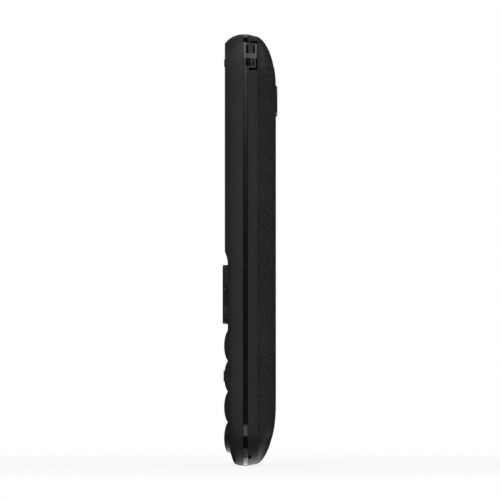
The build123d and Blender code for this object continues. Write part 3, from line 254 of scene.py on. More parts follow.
plastics = {
    "front_shell": {"dark": (0.0081, 0.0083, 0.0105), "light": (0.0120, 0.0122, 0.0152),
                    "fleck": (0.020, 0.021, 0.025), "cloud": 90.0, "grain": 5200.0,
                    "gloss": (0.44, 0.56), "depth": 0.012 * mm, "shine": 0.39},
    "cover": {"dark": (0.0082, 0.0072, 0.0060), "light": (0.0118, 0.0106, 0.0090),
              "fleck": (0.019, 0.018, 0.016), "cloud": 70.0, "grain": 4600.0,
              "gloss": (0.42, 0.54), "depth": 0.012 * mm, "shine": 0.40},
    "number_keys": {"dark": (0.0075, 0.0080, 0.0090), "light": (0.0110, 0.0116, 0.0130),
                    "fleck": (0.018, 0.019, 0.021), "cloud": 160.0, "grain": 7000.0,
                    "gloss": (0.32, 0.42), "depth": 0.006 * mm, "shine": 0.40},
    "rubber": {"dark": (0.018, 0.018, 0.019), "light": (0.030, 0.030, 0.032),
               "fleck": (0.045, 0.045, 0.047), "cloud": 200.0, "grain": 5000.0,
               "gloss": (0.66, 0.82), "depth": 0.02 * mm, "shine": 0.25},
    "inner_plastic": {"dark": (0.016, 0.017, 0.018), "light": (0.028, 0.029, 0.031),
                      "fleck": (0.05, 0.05, 0.052), "cloud": 130.0, "grain": 3800.0,
                      "gloss": (0.50, 0.64), "depth": 0.02 * mm, "shine": 0.35},
    "white_plastic": {"dark": (0.66, 0.66, 0.64), "light": (0.76, 0.76, 0.74),
                      "fleck": (0.82, 0.82, 0.80), "cloud": 150.0, "grain": 3000.0,
                      "gloss": (0.36, 0.48), "depth": 0.008 * mm, "shine": 0.45},
    "bezel": {"dark": (0.0045, 0.0047, 0.0052), "light": (0.0070, 0.0072, 0.0078),
              "fleck": (0.011, 0.011, 0.012), "cloud": 260.0, "grain": 9000.0,
              "gloss": (0.16, 0.24), "depth": 0.002 * mm, "shine": 0.5,
              "coat": 0.4, "coatGloss": 0.06},
}


def brushedMetal(name, look):
    made, tree, shader, place = startFinish(name)
    squeeze = addNode(tree, "ShaderNodeMapping", Scale=look["stretch"])
    tree.links.new(place, squeeze.inputs["Vector"])
    lines = noise(tree, squeeze.outputs[0], *look["grain"])
    cloud = noise(tree, place, look["cloud"])
    dress(tree, shader, look, clouded(tree, cloud, look), lines, lines)
    return made


metals = {
    "metal": {"dark": (0.42, 0.42, 0.43), "light": (0.58, 0.58, 0.58), "cloud": 180.0,
              "grain": (5200.0, 4.0, 0.6), "stretch": (1.0, 1.0, 0.06),
              "gloss": (0.22, 0.40), "depth": 0.004 * mm, "metallic": 1.0},
    "contact_gold": {"dark": (0.62, 0.44, 0.17), "light": (0.80, 0.60, 0.28), "cloud": 180.0,
                     "grain": (7000.0, 4.0, 0.6), "stretch": (1.0, 1.0, 0.3),
                     "gloss": (0.16, 0.30), "depth": 0.002 * mm, "metallic": 1.0},
    "grille": {"dark": (0.045, 0.045, 0.047), "light": (0.085, 0.085, 0.088), "cloud": 180.0,
               "grain": (6000.0, 4.0, 0.6), "stretch": (0.05, 1.0, 1.0),
               "gloss": (0.26, 0.42), "depth": 0.003 * mm, "metallic": 1.0},
}


def arched(tree, value, top, radius):
    # Height of a shallow arch, 0 at its top
    offset = minus(tree, value, top)
    return times(tree, times(tree, offset, offset), -0.5 / radius)


def strapPaintedShade(tree, point, look):
    # Painted shade: 1 on the bottoms of the pocket behind the strap bar and of the step round its
    # corner, where shade falls, and on a dark joint line in the pocket
    paintedShade = 0.0
    for spans in look["strap"]:
        inside = 1.0
        for value, (low, high), soft in zip(point, spans, look["strapSoft"]):
            inside = times(tree, inside, between(tree, value, low * mm, high * mm, soft))
        paintedShade = larger(tree, paintedShade, inside)
    return paintedShade


def glossFrame(name, look):
    # Polished band and strap island, satin where the deck lies under the cover. The band is a
    # little crowned and bowed and the island leans back, which moves what they reflect
    # The bottoms of the strap pocket and of the step get painted shade: a near black colour, made
    # metallic so that they reflect nothing
    made, tree, shader, place = startFinish(name)
    x, y, z = splitPoint(tree, place)
    cloud = softCloud(tree, place, look)
    speck = noise(tree, place, look["grain"])
    band = between(tree, y, *look["bandY"], look["bandSoft"])
    corner = times(tree, above(tree, z, look["islandZ"], look["islandSoft"]),
                   above(tree, x, look["islandX"], look["islandSoft"]))
    polished = larger(tree, band, corner)
    plain = minus(tree, 1.0, polished)
    paintedShade = strapPaintedShade(tree, (x, y, z), look)
    waxed = spread(tree, cloud, *look["polish"])
    satin = spread(tree, speck, *look["satin"])
    bandEdge = look["bandY"][1]
    edgeDrop = 0.5 * (bandEdge - look["crownY"]) ** 2 / look["crownRadius"]
    crown = arched(tree, y, look["crownY"], look["crownRadius"])
    bow = arched(tree, z, look["bowZ"], look["bowRadius"])
    lean = minus(tree, times(tree, minus(tree, y, bandEdge), look["islandLean"]), edgeDrop)
    island = times(tree, corner, minus(tree, 1.0, band))
    across = plus(tree, times(tree, crown, band), times(tree, lean, island))
    shape = plus(tree, across, times(tree, bow, polished))
    grain = bump(tree, times(tree, speck, plain), look["depth"])
    # Painted shade on the strap pocket and step bottoms: base colour near black and metallic 1
    for socket, value in (
            ("Base Color", blendColour(tree, paintedShade, clouded(tree, cloud, look), look["pit"])),
            ("Metallic", paintedShade),
            ("Roughness", plus(tree, times(tree, polished, waxed), times(tree, plain, satin))),
            ("Normal", bump(tree, shape, 1.0, 1.0, grain))):
        tree.links.new(value, shader.inputs[socket])
    setPlain(shader, look)
    return made


bandLook = {"dark": (0.0034, 0.0034, 0.0030), "light": (0.0046, 0.0045, 0.0040),
            # The near black on the next line is the painted shade of the strap pocket and step
            "pit": (0.0004, 0.0004, 0.0004), "cloud": 110.0, "grain": 5200.0,
            "polish": (0.045, 0.07), "satin": (0.38, 0.52), "depth": 0.01 * mm, "shine": 0.5,
            "bandY": (-2.1 * mm, -0.5 * mm), "bandSoft": 0.05 * mm,
            "crownY": -1.24 * mm, "crownRadius": 6.0 * mm,
            "bowZ": 59.0 * mm, "bowRadius": 12000.0 * mm,
            "islandX": 13.8 * mm, "islandZ": 108.0 * mm, "islandSoft": 0.1 * mm,
            "islandLean": 0.176,
            "strapSoft": (0.04 * mm, 0.01 * mm, 0.01 * mm),
            # Spans that get painted shade, near black and without reflection
            "strap": (   # spans along x, y and z in mm
                ((19.4, 20.6), (-1.2, 1.5), (107.9, 111.4)),        # pocket, its lower half
                ((19.4, 20.6), (-1.2, -0.5), (111.4, 114.9)),       # upper half, its front
                ((19.4, 20.6), (0.95, 1.5), (111.4, 114.9)),        # upper half, its back
                ((23.0, 24.1), (1.58, 2.3), (108.0, 111.42)),       # step behind the bar
                ((23.0, 24.1), (-0.32, 2.3), (108.0, 108.82)),      # step under the bar
                ((20.7, 21.0), (-0.6, 0.9), (109.75, 109.95)))}     # joint line in the pocket


def windowGlass(name, look):
    # Clear acrylic with a black print round the view area
    made, tree, shader, place = startFinish(name)
    x, _, z = splitPoint(tree, place)
    view = roundedArea(tree, x, z, look)
    cloud = softCloud(tree, place, look)
    dress(tree, shader, look, blendColour(tree, view, look["print"], look["clear"]), cloud, cloud)
    tree.links.new(view, shader.inputs["Transmission Weight"])
    return made


windowLook = {"print": (0.0035, 0.0036, 0.0040), "clear": (0.92, 0.94, 0.95), "cloud": 60.0,
              "gloss": (0.015, 0.04), "depth": 0.01 * mm, "strength": 0.4, "bending": 1.49,
              "centre": (0.0, 83.8 * mm), "half": (17.3 * mm, 22.6 * mm),
              "corner": 0.9 * mm, "soft": 0.05 * mm}


def circuitBoard(name, look):
    # Green solder mask over copper traces and gold pads
    made, tree, shader, place = startFinish(name)
    x = splitPoint(tree, place)[0]
    cloud = noise(tree, place, look["cloud"])
    bend = times(tree, noise(tree, place, *look["bend"]), look["swing"])
    stepped = plus(tree, x, calc(tree, "SNAP", bend, look["jog"]))
    lane = calc(tree, "PINGPONG", stepped, look["lane"])
    trace = spread(tree, lane, 0.0, 1.0, *(share * look["lane"] for share in look["traceEdge"]))
    cells = addNode(tree, "ShaderNodeTexVoronoi", Scale=look["pads"], Randomness=look["scatter"])
    tree.links.new(place, cells.inputs["Vector"])
    pad = spread(tree, cells.outputs["Distance"], 1.0, 0.0, *look["padEdge"])
    traced = blendColour(tree, trace, clouded(tree, cloud, look), look["trace"])
    dress(tree, shader, look, blendColour(tree, pad, traced, look["gold"]), cloud,
          plus(tree, trace, pad))
    tree.links.new(times(tree, pad, look["padMetal"]), shader.inputs["Metallic"])
    return made


boardLook = {"dark": (0.010, 0.060, 0.022), "light": (0.014, 0.080, 0.030),
             "trace": (0.018, 0.11, 0.042), "gold": (0.62, 0.45, 0.18), "cloud": 140.0,
             "gloss": (0.26, 0.38), "depth": 0.02 * mm, "bend": (260.0, 0.0),
             "swing": 6 * mm, "jog": 0.5 * mm, "lane": 0.35 * mm, "traceEdge": (0.40, 0.48),
             "pads": 520.0, "scatter": 0.85, "padEdge": (0.16, 0.20), "padMetal": 0.9}


def chipResin(name, look):
    made, tree, shader, place = startFinish(name)
    speck = noise(tree, place, *look["grain"])
    dress(tree, shader, look, blendColour(tree, speck, look["dark"], look["light"]),
          softCloud(tree, place, look), speck)
    return made


chipLook = {"dark": (0.012, 0.012, 0.013), "light": (0.035, 0.035, 0.036), "cloud": 300.0,
            "grain": (6000.0, 4.0, 0.7), "gloss": (0.48, 0.64), "depth": 0.015 * mm}


def batteryWrap(name, look):
    # Plain printed film in two greys with a stripe and faint scuffs, no words
    made, tree, shader, place = startFinish(name)
    z = splitPoint(tree, place)[2]
    cloud = noise(tree, place, look["cloud"])
    scuff = noise(tree, place, *look["grain"])
    upper = above(tree, z, look["split"], look["soft"])
    body = blendColour(tree, upper, look["dark"], look["light"])
    striped = blendColour(tree, between(tree, z, *look["stripe"], look["soft"]), body, look["line"])
    worn = spread(tree, scuff, 0.0, look["wear"], *look["wearEdge"])
    dress(tree, shader, look, blendColour(tree, worn, striped, look["scuff"]), cloud, cloud)
    return made


wrapLook = {"dark": (0.030, 0.032, 0.036), "light": (0.42, 0.43, 0.44), "cloud": 80.0,
            "line": (0.10, 0.22, 0.36), "scuff": (0.20, 0.20, 0.21), "grain": (900.0, 6.0, 0.7),
            "wear": 0.35, "wearEdge": (0.60, 0.72), "gloss": (0.28, 0.42), "depth": 0.03 * mm,
            "strength": 0.5, "split": 72.0 * mm, "stripe": (71.0 * mm, 72.0 * mm),
            "soft": 0.05 * mm}


def clearFilm(name, look):
    # Amber film of the ribbon and the dome sheet
    made, tree, shader, place = startFinish(name)
    cloud = noise(tree, place, look["cloud"])
    dress(tree, shader, look, blendColour(tree, cloud, look["dark"], look["light"]), cloud, cloud)
    return made


filmLook = {"dark": (0.62, 0.52, 0.34), "light": (0.76, 0.66, 0.46), "cloud": 220.0,
            "gloss": (0.18, 0.32), "depth": 0.02 * mm}


def displayPanel(name, look):
    # Liquid crystal panel switched off: dark, a little blue, with its fine pixel rows
    made, tree, shader, place = startFinish(name)
    x, _, z = splitPoint(tree, place)
    rows, columns = (calc(tree, "PINGPONG", value, look["pixel"]) for value in (z, x))
    weave = spread(tree, calc(tree, "MINIMUM", rows, columns), 0.0, 1.0, 0.0, look["line"])
    cloud = softCloud(tree, place, look)
    tone = blendColour(tree, cloud, look["dark"], look["light"])
    dress(tree, shader, look, blendColour(tree, times(tree, weave, look["lit"]), look["gap"], tone),
          cloud, weave)
    return made


panelLook = {"dark": (0.010, 0.013, 0.017), "light": (0.016, 0.020, 0.025),
             "gap": (0.005, 0.006, 0.008), "cloud": 45.0, "gloss": (0.10, 0.18),
             "depth": 0.003 * mm, "pixel": 0.09 * mm, "line": 0.036 * mm, "lit": 0.5}


def lampLens(name, look):
    # Flash lens: milky, with the yellow of the lamp behind its middle
    made, tree, shader, place = startFinish(name)
    x, _, z = splitPoint(tree, place)
    cloud = noise(tree, place, look["cloud"])
    milk = blendColour(tree, cloud, look["dark"], look["light"])
    colour = blendColour(tree, roundedArea(tree, x, z, look), milk, look["core"])
    dress(tree, shader, look, colour, cloud, cloud)
    return made


lampLook = {"dark": (0.40, 0.40, 0.38), "light": (0.52, 0.52, 0.49), "core": (0.66, 0.50, 0.12),
            "cloud": 900.0, "gloss": (0.10, 0.20), "depth": 0.01 * mm, "coat": 0.6,
            "coatGloss": 0.05, "centre": (4.6 * mm, 99.75 * mm), "half": (0.62 * mm, 0.62 * mm),
            "corner": 0.2 * mm, "soft": 0.12 * mm}


def ringFinish(name, look):
    # Satin navigation keys with four small printed arrowheads
    made, tree, shader, place = startFinish(name)
    x, y, z = splitPoint(tree, place)
    cloud = softCloud(tree, place, look)
    sideways = calc(tree, "ABSOLUTE", x)
    upwards = calc(tree, "ABSOLUTE", minus(tree, z, look["centreZ"]))
    printed = 0.0
    for along, across, tip in ((upwards, sideways, look["tipUp"]),
                               (sideways, upwards, look["tipSide"])):
        behind = minus(tree, tip, along)
        pointed = above(tree, minus(tree, behind, across), 0.0, look["soft"])
        ended = below(tree, behind, look["mark"], look["soft"])
        printed = larger(tree, printed, times(tree, pointed, ended))
    printed = times(tree, printed, spread(tree, y, 1.0, 0.0, *look["face"]))
    tone = blendColour(tree, cloud, look["dark"], look["light"])
    dress(tree, shader, look, blendColour(tree, printed, tone, look["print"]), cloud, cloud)
    return made


ringLook = {"dark": (0.0060, 0.0063, 0.0070), "light": (0.0085, 0.0089, 0.0098),
            "print": (0.46, 0.47, 0.48), "cloud": 180.0, "gloss": (0.36, 0.46),
            "depth": 0.004 * mm, "strength": 0.4, "shine": 0.32, "centreZ": 46.8 * mm,
            "tipUp": 6.3 * mm, "tipSide": 7.7 * mm, "mark": 0.8 * mm, "soft": 0.03 * mm,
            "face": (-7.4 * mm, -7.35 * mm)}


def wovenMesh(name, look):
    # Fine black cloth over the loudspeaker
    made, tree, shader, place = startFinish(name)
    x, _, z = splitPoint(tree, place)
    threads = [calc(tree, "PINGPONG", plus(tree, value, 1.0), look["thread"]) for value in (x, z)]
    weave = spread(tree, larger(tree, *threads), 0.0, 1.0, look["hole"] * look["thread"],
                   look["thread"])
    cloud = softCloud(tree, place, look)
    thread = blendColour(tree, cloud, look["dark"], look["light"])
    dress(tree, shader, look, blendColour(tree, weave, look["gap"], thread), cloud, weave)
    return made


meshLook = {"dark": (0.010, 0.010, 0.011), "light": (0.020, 0.020, 0.021),
            "gap": (0.001, 0.001, 0.001), "cloud": 900.0, "gloss": (0.55, 0.70),
            "depth": 0.03 * mm, "thread": 0.11 * mm, "hole": 0.45}


def coatedGlass(name, look):
    # Clear cover glass over the camera
    made, tree, shader, place = startFinish(name)
    cloud = softCloud(tree, place, look)
    dress(tree, shader, look, blendColour(tree, cloud, look["dark"], look["light"]), cloud, cloud)
    return made


glassLook = {"dark": (0.90, 0.92, 0.93), "light": (0.96, 0.97, 0.98), "cloud": 300.0,
             "gloss": (0.01, 0.03), "depth": 0.002 * mm, "strength": 0.3, "bending": 1.5,
             "glassy": 1.0}


def paintNode(node, finish):
    mesh = nodes[node].data
    for i in range(len(mesh.materials)):
        mesh.materials[i] = finish


finishes = {slot: mouldedPlastic(slot + "_finish", look) for slot, look in plastics.items()}
finishes.update({slot: brushedMetal(slot + "_finish", look) for slot, look in metals.items()})
for slot, make, look in (("frame_gloss", glossFrame, bandLook), ("window", windowGlass, windowLook),
                         ("board", circuitBoard, boardLook), ("chip", chipResin, chipLook),
                         ("battery_wrap", batteryWrap, wrapLook), ("film", clearFilm, filmLook),
                         ("display", displayPanel, panelLook), ("lamp", lampLens, lampLook),
                         ("nav_keys", ringFinish, ringLook)):
    finishes[slot] = make(slot + "_finish", look)

for part in frame["record"]["subparts"]:
    paintNode(part["node"], finishes[part["material_slot"]])
paintNode("speaker_mesh", wovenMesh("speaker_mesh_finish", meshLook))
paintNode("camera_glass", coatedGlass("camera_glass_finish", glassLook))


# Ribbed skin of the dished back: rows of points cast onto the cover, four to a rib, and lifted
ribs = {"pitch": 0.66 * mm, "rowsPerRib": 4, "crest": 0.105 * mm, "trough": 0.012 * mm,
        "sunk": -0.05 * mm,                                 # under the cover where it is bare
        "low": 6.2 * mm, "high": 111.6 * mm, "lowest": 0.5 * mm,
        "lowFade": (5.2 * mm, 9.7 * mm), "highFade": (108.6 * mm, 111.6 * mm),
        "creaseFade": (2.1 * mm, 2.35 * mm), "probeX": 50.0 * mm,
        "arcColumns": 14, "flatColumns": 40, "startAngle": 12.0,
        "sideReach": 7.5 * mm, "leastFlat": 1.0 * mm, "centreY": 0.7526 * mm,
        "outside": 14.0 * mm, "behind": 20.0 * mm,
        "slopeFrom": 106.0 * mm, "slopeSpan": 96.0 * mm,    # the rows bend down more and more
        "slopeTop": 13.0, "slopeGain": 22.0, "slopePower": 1.7, "halfGirth": 25.0 * mm,
        "bareFade": 0.5 * mm}
bareAreas = (  # centre x and z, half width, half height, corner, all with a margin
    (0.0, 99.75 * mm, 9.3 * mm, 5.05 * mm, 4.2 * mm),      # camera
    (0.0, 23.7 * mm, 5.2 * mm, 4.4 * mm, 1.5 * mm),        # loudspeaker
)


def smooth(value, low, high):
    t = min(1.0, max(0.0, (value - low) / (high - low)))
    return t * t * (3 - 2 * t)


def outsideArea(x, z, area):
    centreX, centreZ, halfX, halfZ, corner = area
    dx = max(abs(x - centreX) - (halfX - corner), 0.0)
    dz = max(abs(z - centreZ) - (halfZ - corner), 0.0)
    return math.hypot(dx, dz) - corner


def treeOf(node):
    data = nodes[node].data
    return BVHTree.FromPolygons([v.co.copy() for v in data.vertices],
                                [tuple(p.vertices) for p in data.polygons])


def rayAcross(tree, r, column, columns, z):
    # From outside the back towards the inner line that its cross-section is rounded about
    probe = tree.ray_cast(Vector((r["probeX"], r["creaseFade"][0], z)), Vector((-1, 0, 0)))[0]
    if z < r["lowest"] or probe is None:
        return None, None
    flatHalf = max(probe.x - r["sideReach"], r["leastFlat"])
    arc, flat = r["arcColumns"], r["flatColumns"]
    side = -1 if column < columns // 2 else 1
    fromEnd = column if side < 0 else columns - 1 - column
    if fromEnd < arc:
        angle = math.radians(r["startAngle"] + (90 - r["startAngle"]) * fromEnd / arc)
        away = Vector((side * math.cos(angle), math.sin(angle), 0))
        inner = Vector((side * flatHalf, r["centreY"], z))
        return inner + away * r["outside"], inner
    x = -flatHalf + 2 * flatHalf * (column - arc) / flat
    return Vector((x, r["behind"], z)), Vector((x, 0, z))


def castRows(r, rowCount, columns):
    tree = treeOf("rear_cover")
    grid = []
    for row in range(rowCount):
        sideZ = r["low"] + row * r["pitch"] / r["rowsPerRib"]
        down = max(0.0, (r["slopeFrom"] - sideZ) / r["slopeSpan"])
        slope = math.tan(math.radians(r["slopeTop"] + r["slopeGain"] * down ** r["slopePower"]))
        line = []
        for column in range(columns):
            u = 2 * column / (columns - 1) - 1
            z = sideZ - r["halfGirth"] / 2 * slope * (1 - u * u)
            start, end = rayAcross(tree, r, column, columns, z)
            line.append(start and tree.ray_cast(start, (end - start).normalized())[0])
        grid.append(line)
    return grid


def ribHeight(r, row, point):
    # How much of the ribs stands here, the lift of the skin, and its painted light and shade: 0
    # groove, painted shade; 1 crest, painted highlight
    wave = 0.5 - 0.5 * math.cos(2 * math.pi * (row % r["rowsPerRib"]) / r["rowsPerRib"])
    lift = r["trough"] + (r["crest"] - r["trough"]) * wave
    share = smooth(point.y, *r["creaseFade"]) * smooth(point.z, *r["lowFade"])
    share *= 1 - smooth(point.z, *r["highFade"])
    for area in bareAreas:
        share *= smooth(outsideArea(point.x, point.z, area), 0.0, r["bareFade"])
    return share, r["sunk"] + (lift - r["sunk"]) * share, 0.5 + (wave - 0.5) * share


def buildRibs(r):
    columns = 2 * r["arcColumns"] + r["flatColumns"] + 1
    rowCount = int((r["high"] - r["low"]) / (r["pitch"] / r["rowsPerRib"]))
    grid = castRows(r, rowCount, columns)
    work = bmesh.new()
    # Painted light and shade per point: 1 on crests, painted lighter, 0 in grooves, painted near
    # black
    tone = work.verts.layers.float.new("ribPaintedLightShade")
    made, shares = {}, {}
    for row in range(rowCount):
        for column in range(columns):
            point = grid[row][column]
            if point is None:
                continue
            left = grid[row][max(column - 1, 0)] or point
            right = grid[row][min(column + 1, columns - 1)] or point
            under = grid[max(row - 1, 0)][column] or point
            over = grid[min(row + 1, rowCount - 1)][column] or point
            share, lift, high = ribHeight(r, row, point)
            vert = work.verts.new(point + (over - under).cross(right - left).normalized() * lift)
            vert[tone] = high
            made[row, column], shares[row, column] = vert, share
    for row in range(rowCount - 1):
        for column in range(columns - 1):
            corners = [(row, column), (row, column + 1), (row + 1, column + 1), (row + 1, column)]
            if all(c in made for c in corners) and max(shares[c] for c in corners) > 0.0:
                work.faces.new([made[c] for c in corners])
    bmesh.ops.delete(work, geom=[v for v in work.verts if not v.link_faces], context="VERTS")
    bmesh.ops.recalc_face_normals(work, faces=work.faces)
    if sum(f.normal.y * f.calc_area() for f in work.faces) < 0:
        bmesh.ops.reverse_faces(work, faces=work.faces)
    return finishedMesh("coverRibs", work, True)


def finishedMesh(name, work, rounded=False):
    if rounded:
        for face in work.faces:
            face.smooth = True
    mesh = bpy.data.meshes.new(name)
    work.to_mesh(mesh)
    work.free()
    return mesh


def addPiece(name, mesh, finish, body):
    piece = bpy.data.objects.new(name, mesh)
    bpy.context.scene.collection.objects.link(piece)
    mesh.materials.append(finish)
    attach(piece, body)
    return piece


def ribbedPlasticPaintedLight(name, look):
    # The cover's plastic, smoother along the crests, with a painted highlight along the crests and
    # painted shade in the grooves, where it is near black and reflects nothing
    made, tree, shader, place = startFinish(name)
    # The painted light and shade of each point of the skin
    high = addNode(tree, "ShaderNodeAttribute", attribute_name="ribPaintedLightShade").outputs["Fac"]
    patches = times(tree, softCloud(tree, place, look), look["patchy"])
    speck = noise(tree, place, look["grain"], spark["detail"], spark["rough"])
    # Crest share with soft noise: it sets the painted light and shade of the colour, and the
    # roughness
    polishAndPaintedLight = spread(tree, plus(tree, high, patches), 0.0, 1.0, *look["rub"])
    tone = blendColour(tree, polishAndPaintedLight, look["dark"], look["light"])
    dress(tree, shader, look, flecked(tree, speck, tone, look["fleck"]), polishAndPaintedLight, speck)
    # Painted shade: the grooves turn metallic over a near black colour, so they reflect nothing
    tree.links.new(spread(tree, polishAndPaintedLight, 1.0, 0.0, *look["grooveShadeSpan"]), shader.inputs["Metallic"])
    return made


# dark is the painted shade in the grooves, light the painted highlight along the crests
ribLook = {"dark": (0.0010, 0.0010, 0.0009), "light": (0.0290, 0.0280, 0.0265),
           "fleck": (0.018, 0.017, 0.016), "cloud": 70.0, "grain": 5200.0,
           "gloss": (0.62, 0.40, 0.0, 1.0), "depth": 0.004 * mm, "shine": 0.40,
           "patchy": 0.3, "rub": (0.2, 1.0), "grooveShadeSpan": (0.05, 0.5)}
ribSkin = addPiece("coverRibs", buildRibs(ribs), ribbedPlasticPaintedLight("cover_ribs_finish", ribLook),
                   "rear_cover")
print("ribbed skin:", len(ribSkin.data.polygons), "faces")


# Camera lens behind its cover glass, and the ringed front of the flash lens
turning = {"steps": 64, "crease": 35.0}


def turned(name, profile, centre, finish):
    # A solid turned about a line along Y; profile is a closed list of (radius, y)
    work = bmesh.new()
    rings = []
    for i in range(turning["steps"]):
        angle = 2 * math.pi * i / turning["steps"]
        rings.append([work.verts.new((centre[0] + radius * math.cos(angle), y,
                                      centre[1] + radius * math.sin(angle)))
                      for radius, y in profile])
    count = len(profile)
    for i, here in enumerate(rings):
        there = rings[(i + 1) % len(rings)]
        for j in range(count):
            k = (j + 1) % count
            work.faces.new((here[j], here[k], there[k], there[j]))
    bmesh.ops.remove_doubles(work, verts=work.verts, dist=nearly)
    bmesh.ops.dissolve_degenerate(work, edges=work.edges, dist=nearly)
    bmesh.ops.recalc_face_normals(work, faces=work.faces)
    mesh = finishedMesh(name, work, True)
    mesh.set_sharp_from_angle(angle=math.radians(turning["crease"]))
    return addPiece(name, mesh, finish, "root")


def lensFinish(name, look):
    # Dark glass with a violet and green bloom that comes from its coating
    made, tree, shader, place = startFinish(name)
    x, _, z = splitPoint(tree, place)
    radius = lengthOf(tree, minus(tree, x, look["centre"][0]), minus(tree, z, look["centre"][1]))
    outward = spread(tree, radius, 0.0, 1.0, *look["bloom"])
    cloud = softCloud(tree, place, look)
    dress(tree, shader, look, blendColour(tree, outward, look["violet"], look["green"]), cloud,
          cloud)
    return made


lens = {"centre": (-3.2 * mm, 99.75 * mm), "radius": 1.35 * mm, "back": 5.72 * mm,
        "domeFoot": 5.86 * mm, "domeRise": 0.62 * mm, "domeSteps": range(0, 91, 6),
        "violet": (0.030, 0.008, 0.060), "green": (0.004, 0.016, 0.020),
        "bloom": (0.27 * mm, 1.35 * mm), "cloud": 700.0, "gloss": (0.03, 0.07),
        "depth": 0.002 * mm, "strength": 0.3, "coat": 1.0, "coatGloss": 0.03,
        "barrel": ((2.18, 5.92), (2.18, 6.02), (2.02, 6.02), (2.02, 6.12), (1.86, 6.12),
                   (1.86, 6.22), (1.70, 6.22), (1.70, 6.30), (1.45, 6.30), (1.45, 5.92))}
barrelLook = {"dark": (0.004, 0.004, 0.0045), "light": (0.008, 0.008, 0.0085),
              "fleck": (0.012, 0.012, 0.012), "cloud": 400.0, "grain": 9000.0,
              "gloss": (0.34, 0.46), "depth": 0.002 * mm, "shine": 0.4}
turned("lensRings", [(radius * mm, y * mm) for radius, y in lens["barrel"]], lens["centre"],
       mouldedPlastic("lens_rings_finish", barrelLook))
dome = [(lens["radius"] * math.sin(math.radians(angle)),
         lens["domeFoot"] + lens["domeRise"] * math.cos(math.radians(angle)))
        for angle in lens["domeSteps"]]
turned("lensGlass", dome + [(lens["radius"], lens["back"]), (0.0, lens["back"])], lens["centre"],
       lensFinish("lens_glass_finish", lens))

flash = {"centre": lampLook["centre"], "radius": 1.28 * mm, "front": 7.2 * mm,
         "ridge": 0.07 * mm, "sink": 0.08 * mm, "ridges": 7, "slope": 0.15}


def flashProfile(f):
    # A saw of low rings, a disc under them
    foot, crest, step = f["front"] - f["sink"], f["front"] + f["ridge"], f["radius"] / f["ridges"]
    profile = [(0.0, foot), (f["radius"], foot)]
    for i in range(f["ridges"], 0, -1):
        profile += [(i * step, f["front"]), ((i - f["slope"]) * step, crest)]
    return profile + [(0.0, crest)]


turned("flashRidges", flashProfile(flash), flash["centre"], finishes["lamp"])
print("lens and flash made")


# Printed marks on the keys
def printInk(name, look):
    # Screen-printed ink, a little uneven
    made, tree, shader, place = startFinish(name)
    grain = noise(tree, place, *look["grain"])
    dress(tree, shader, look, clouded(tree, grain, look), grain, grain)
    return made


inkLook = {"grain": (2600.0, 4.0, 0.6), "gloss": (0.42, 0.58), "depth": 0.004 * mm}
inkTones = {"white": {"dark": (0.52, 0.53, 0.54), "light": (0.66, 0.67, 0.68)},
            "green": {"dark": (0.012, 0.30, 0.045), "light": (0.020, 0.42, 0.070)},
            "red": {"dark": (0.46, 0.010, 0.008), "light": (0.62, 0.020, 0.016)}}
inks = {tone: printInk(tone + "_ink", inkLook | colours) for tone, colours in inkTones.items()}
marks = {"digitSize": 4.0 * mm, "signSize": 4.6 * mm, "shift": -2.7 * mm, "curveSteps": 4,
         "cell": 0.4 * mm, "lift": 0.012 * mm, "sink": 0.03 * mm, "reach": 20.0 * mm,
         "handset": 1.55 * mm, "handsetArc": 62.0, "handsetDrop": 0.6, "handsetSteps": 28,
         "callTilt": 45.0, "endTilt": 0.0,
         "handle": 0.40 * mm, "cup": 0.82 * mm, "cupFrom": (0.62, 0.74),
         "dash": (1.5 * mm, 0.20 * mm), "dashSteps": 8}


def textShape(words, size, m):
    # Flat mesh of some figures, centred on its own box
    curve = bpy.data.curves.new("figures", "FONT")
    curve.body = words
    curve.size = size
    curve.resolution_u = m["curveSteps"]
    holder = bpy.data.objects.new("figures", curve)
    bpy.context.scene.collection.objects.link(holder)
    ready = bpy.context.evaluated_depsgraph_get()
    flat = bpy.data.meshes.new_from_object(holder.evaluated_get(ready))
    shape = bmesh.new()
    shape.from_mesh(flat)
    bpy.data.objects.remove(holder)
    bpy.data.curves.remove(curve)
    bpy.data.meshes.remove(flat)
    xs = [v.co.x for v in shape.verts]
    ys = [v.co.y for v in shape.verts]
    back = (-(min(xs) + max(xs)) / 2, -(min(ys) + max(ys)) / 2, 0)
    bmesh.ops.translate(shape, verts=shape.verts, vec=back)
    return shape


def handsetShape(m, tilt):
    # A telephone receiver: a curved handle between two thick ends
    shape = bmesh.new()
    outer, inner = [], []
    for i in range(m["handsetSteps"] + 1):
        t = 2 * i / m["handsetSteps"] - 1
        angle = math.radians(90 - m["handsetArc"] * t)
        width = m["handle"] + (m["cup"] - m["handle"]) * smooth(abs(t), *m["cupFrom"])
        for line, radius in ((outer, m["handset"]), (inner, m["handset"] - width)):
            drop = m["handsetDrop"] * m["handset"]
            line.append(shape.verts.new((radius * math.cos(angle),
                                         radius * math.sin(angle) - drop, 0)))
    for i in range(m["handsetSteps"]):
        shape.faces.new((inner[i], inner[i + 1], outer[i + 1], outer[i]))
    turn = math.radians(tilt)
    for vert in shape.verts:
        x, y = vert.co.x, vert.co.y
        vert.co.x = x * math.cos(turn) - y * math.sin(turn)
        vert.co.y = x * math.sin(turn) + y * math.cos(turn)
    return shape


def dashShape(m):
    # A short bar with round ends
    shape = bmesh.new()
    half, thick = m["dash"]
    rim = []
    for side in (1, -1):
        for i in range(m["dashSteps"] + 1):
            angle = math.radians(180 * i / m["dashSteps"] - 90 * side)
            rim.append(shape.verts.new((side * half + thick * math.cos(angle),
                                        thick * math.sin(angle), 0)))
    shape.faces.new(rim)
    return shape


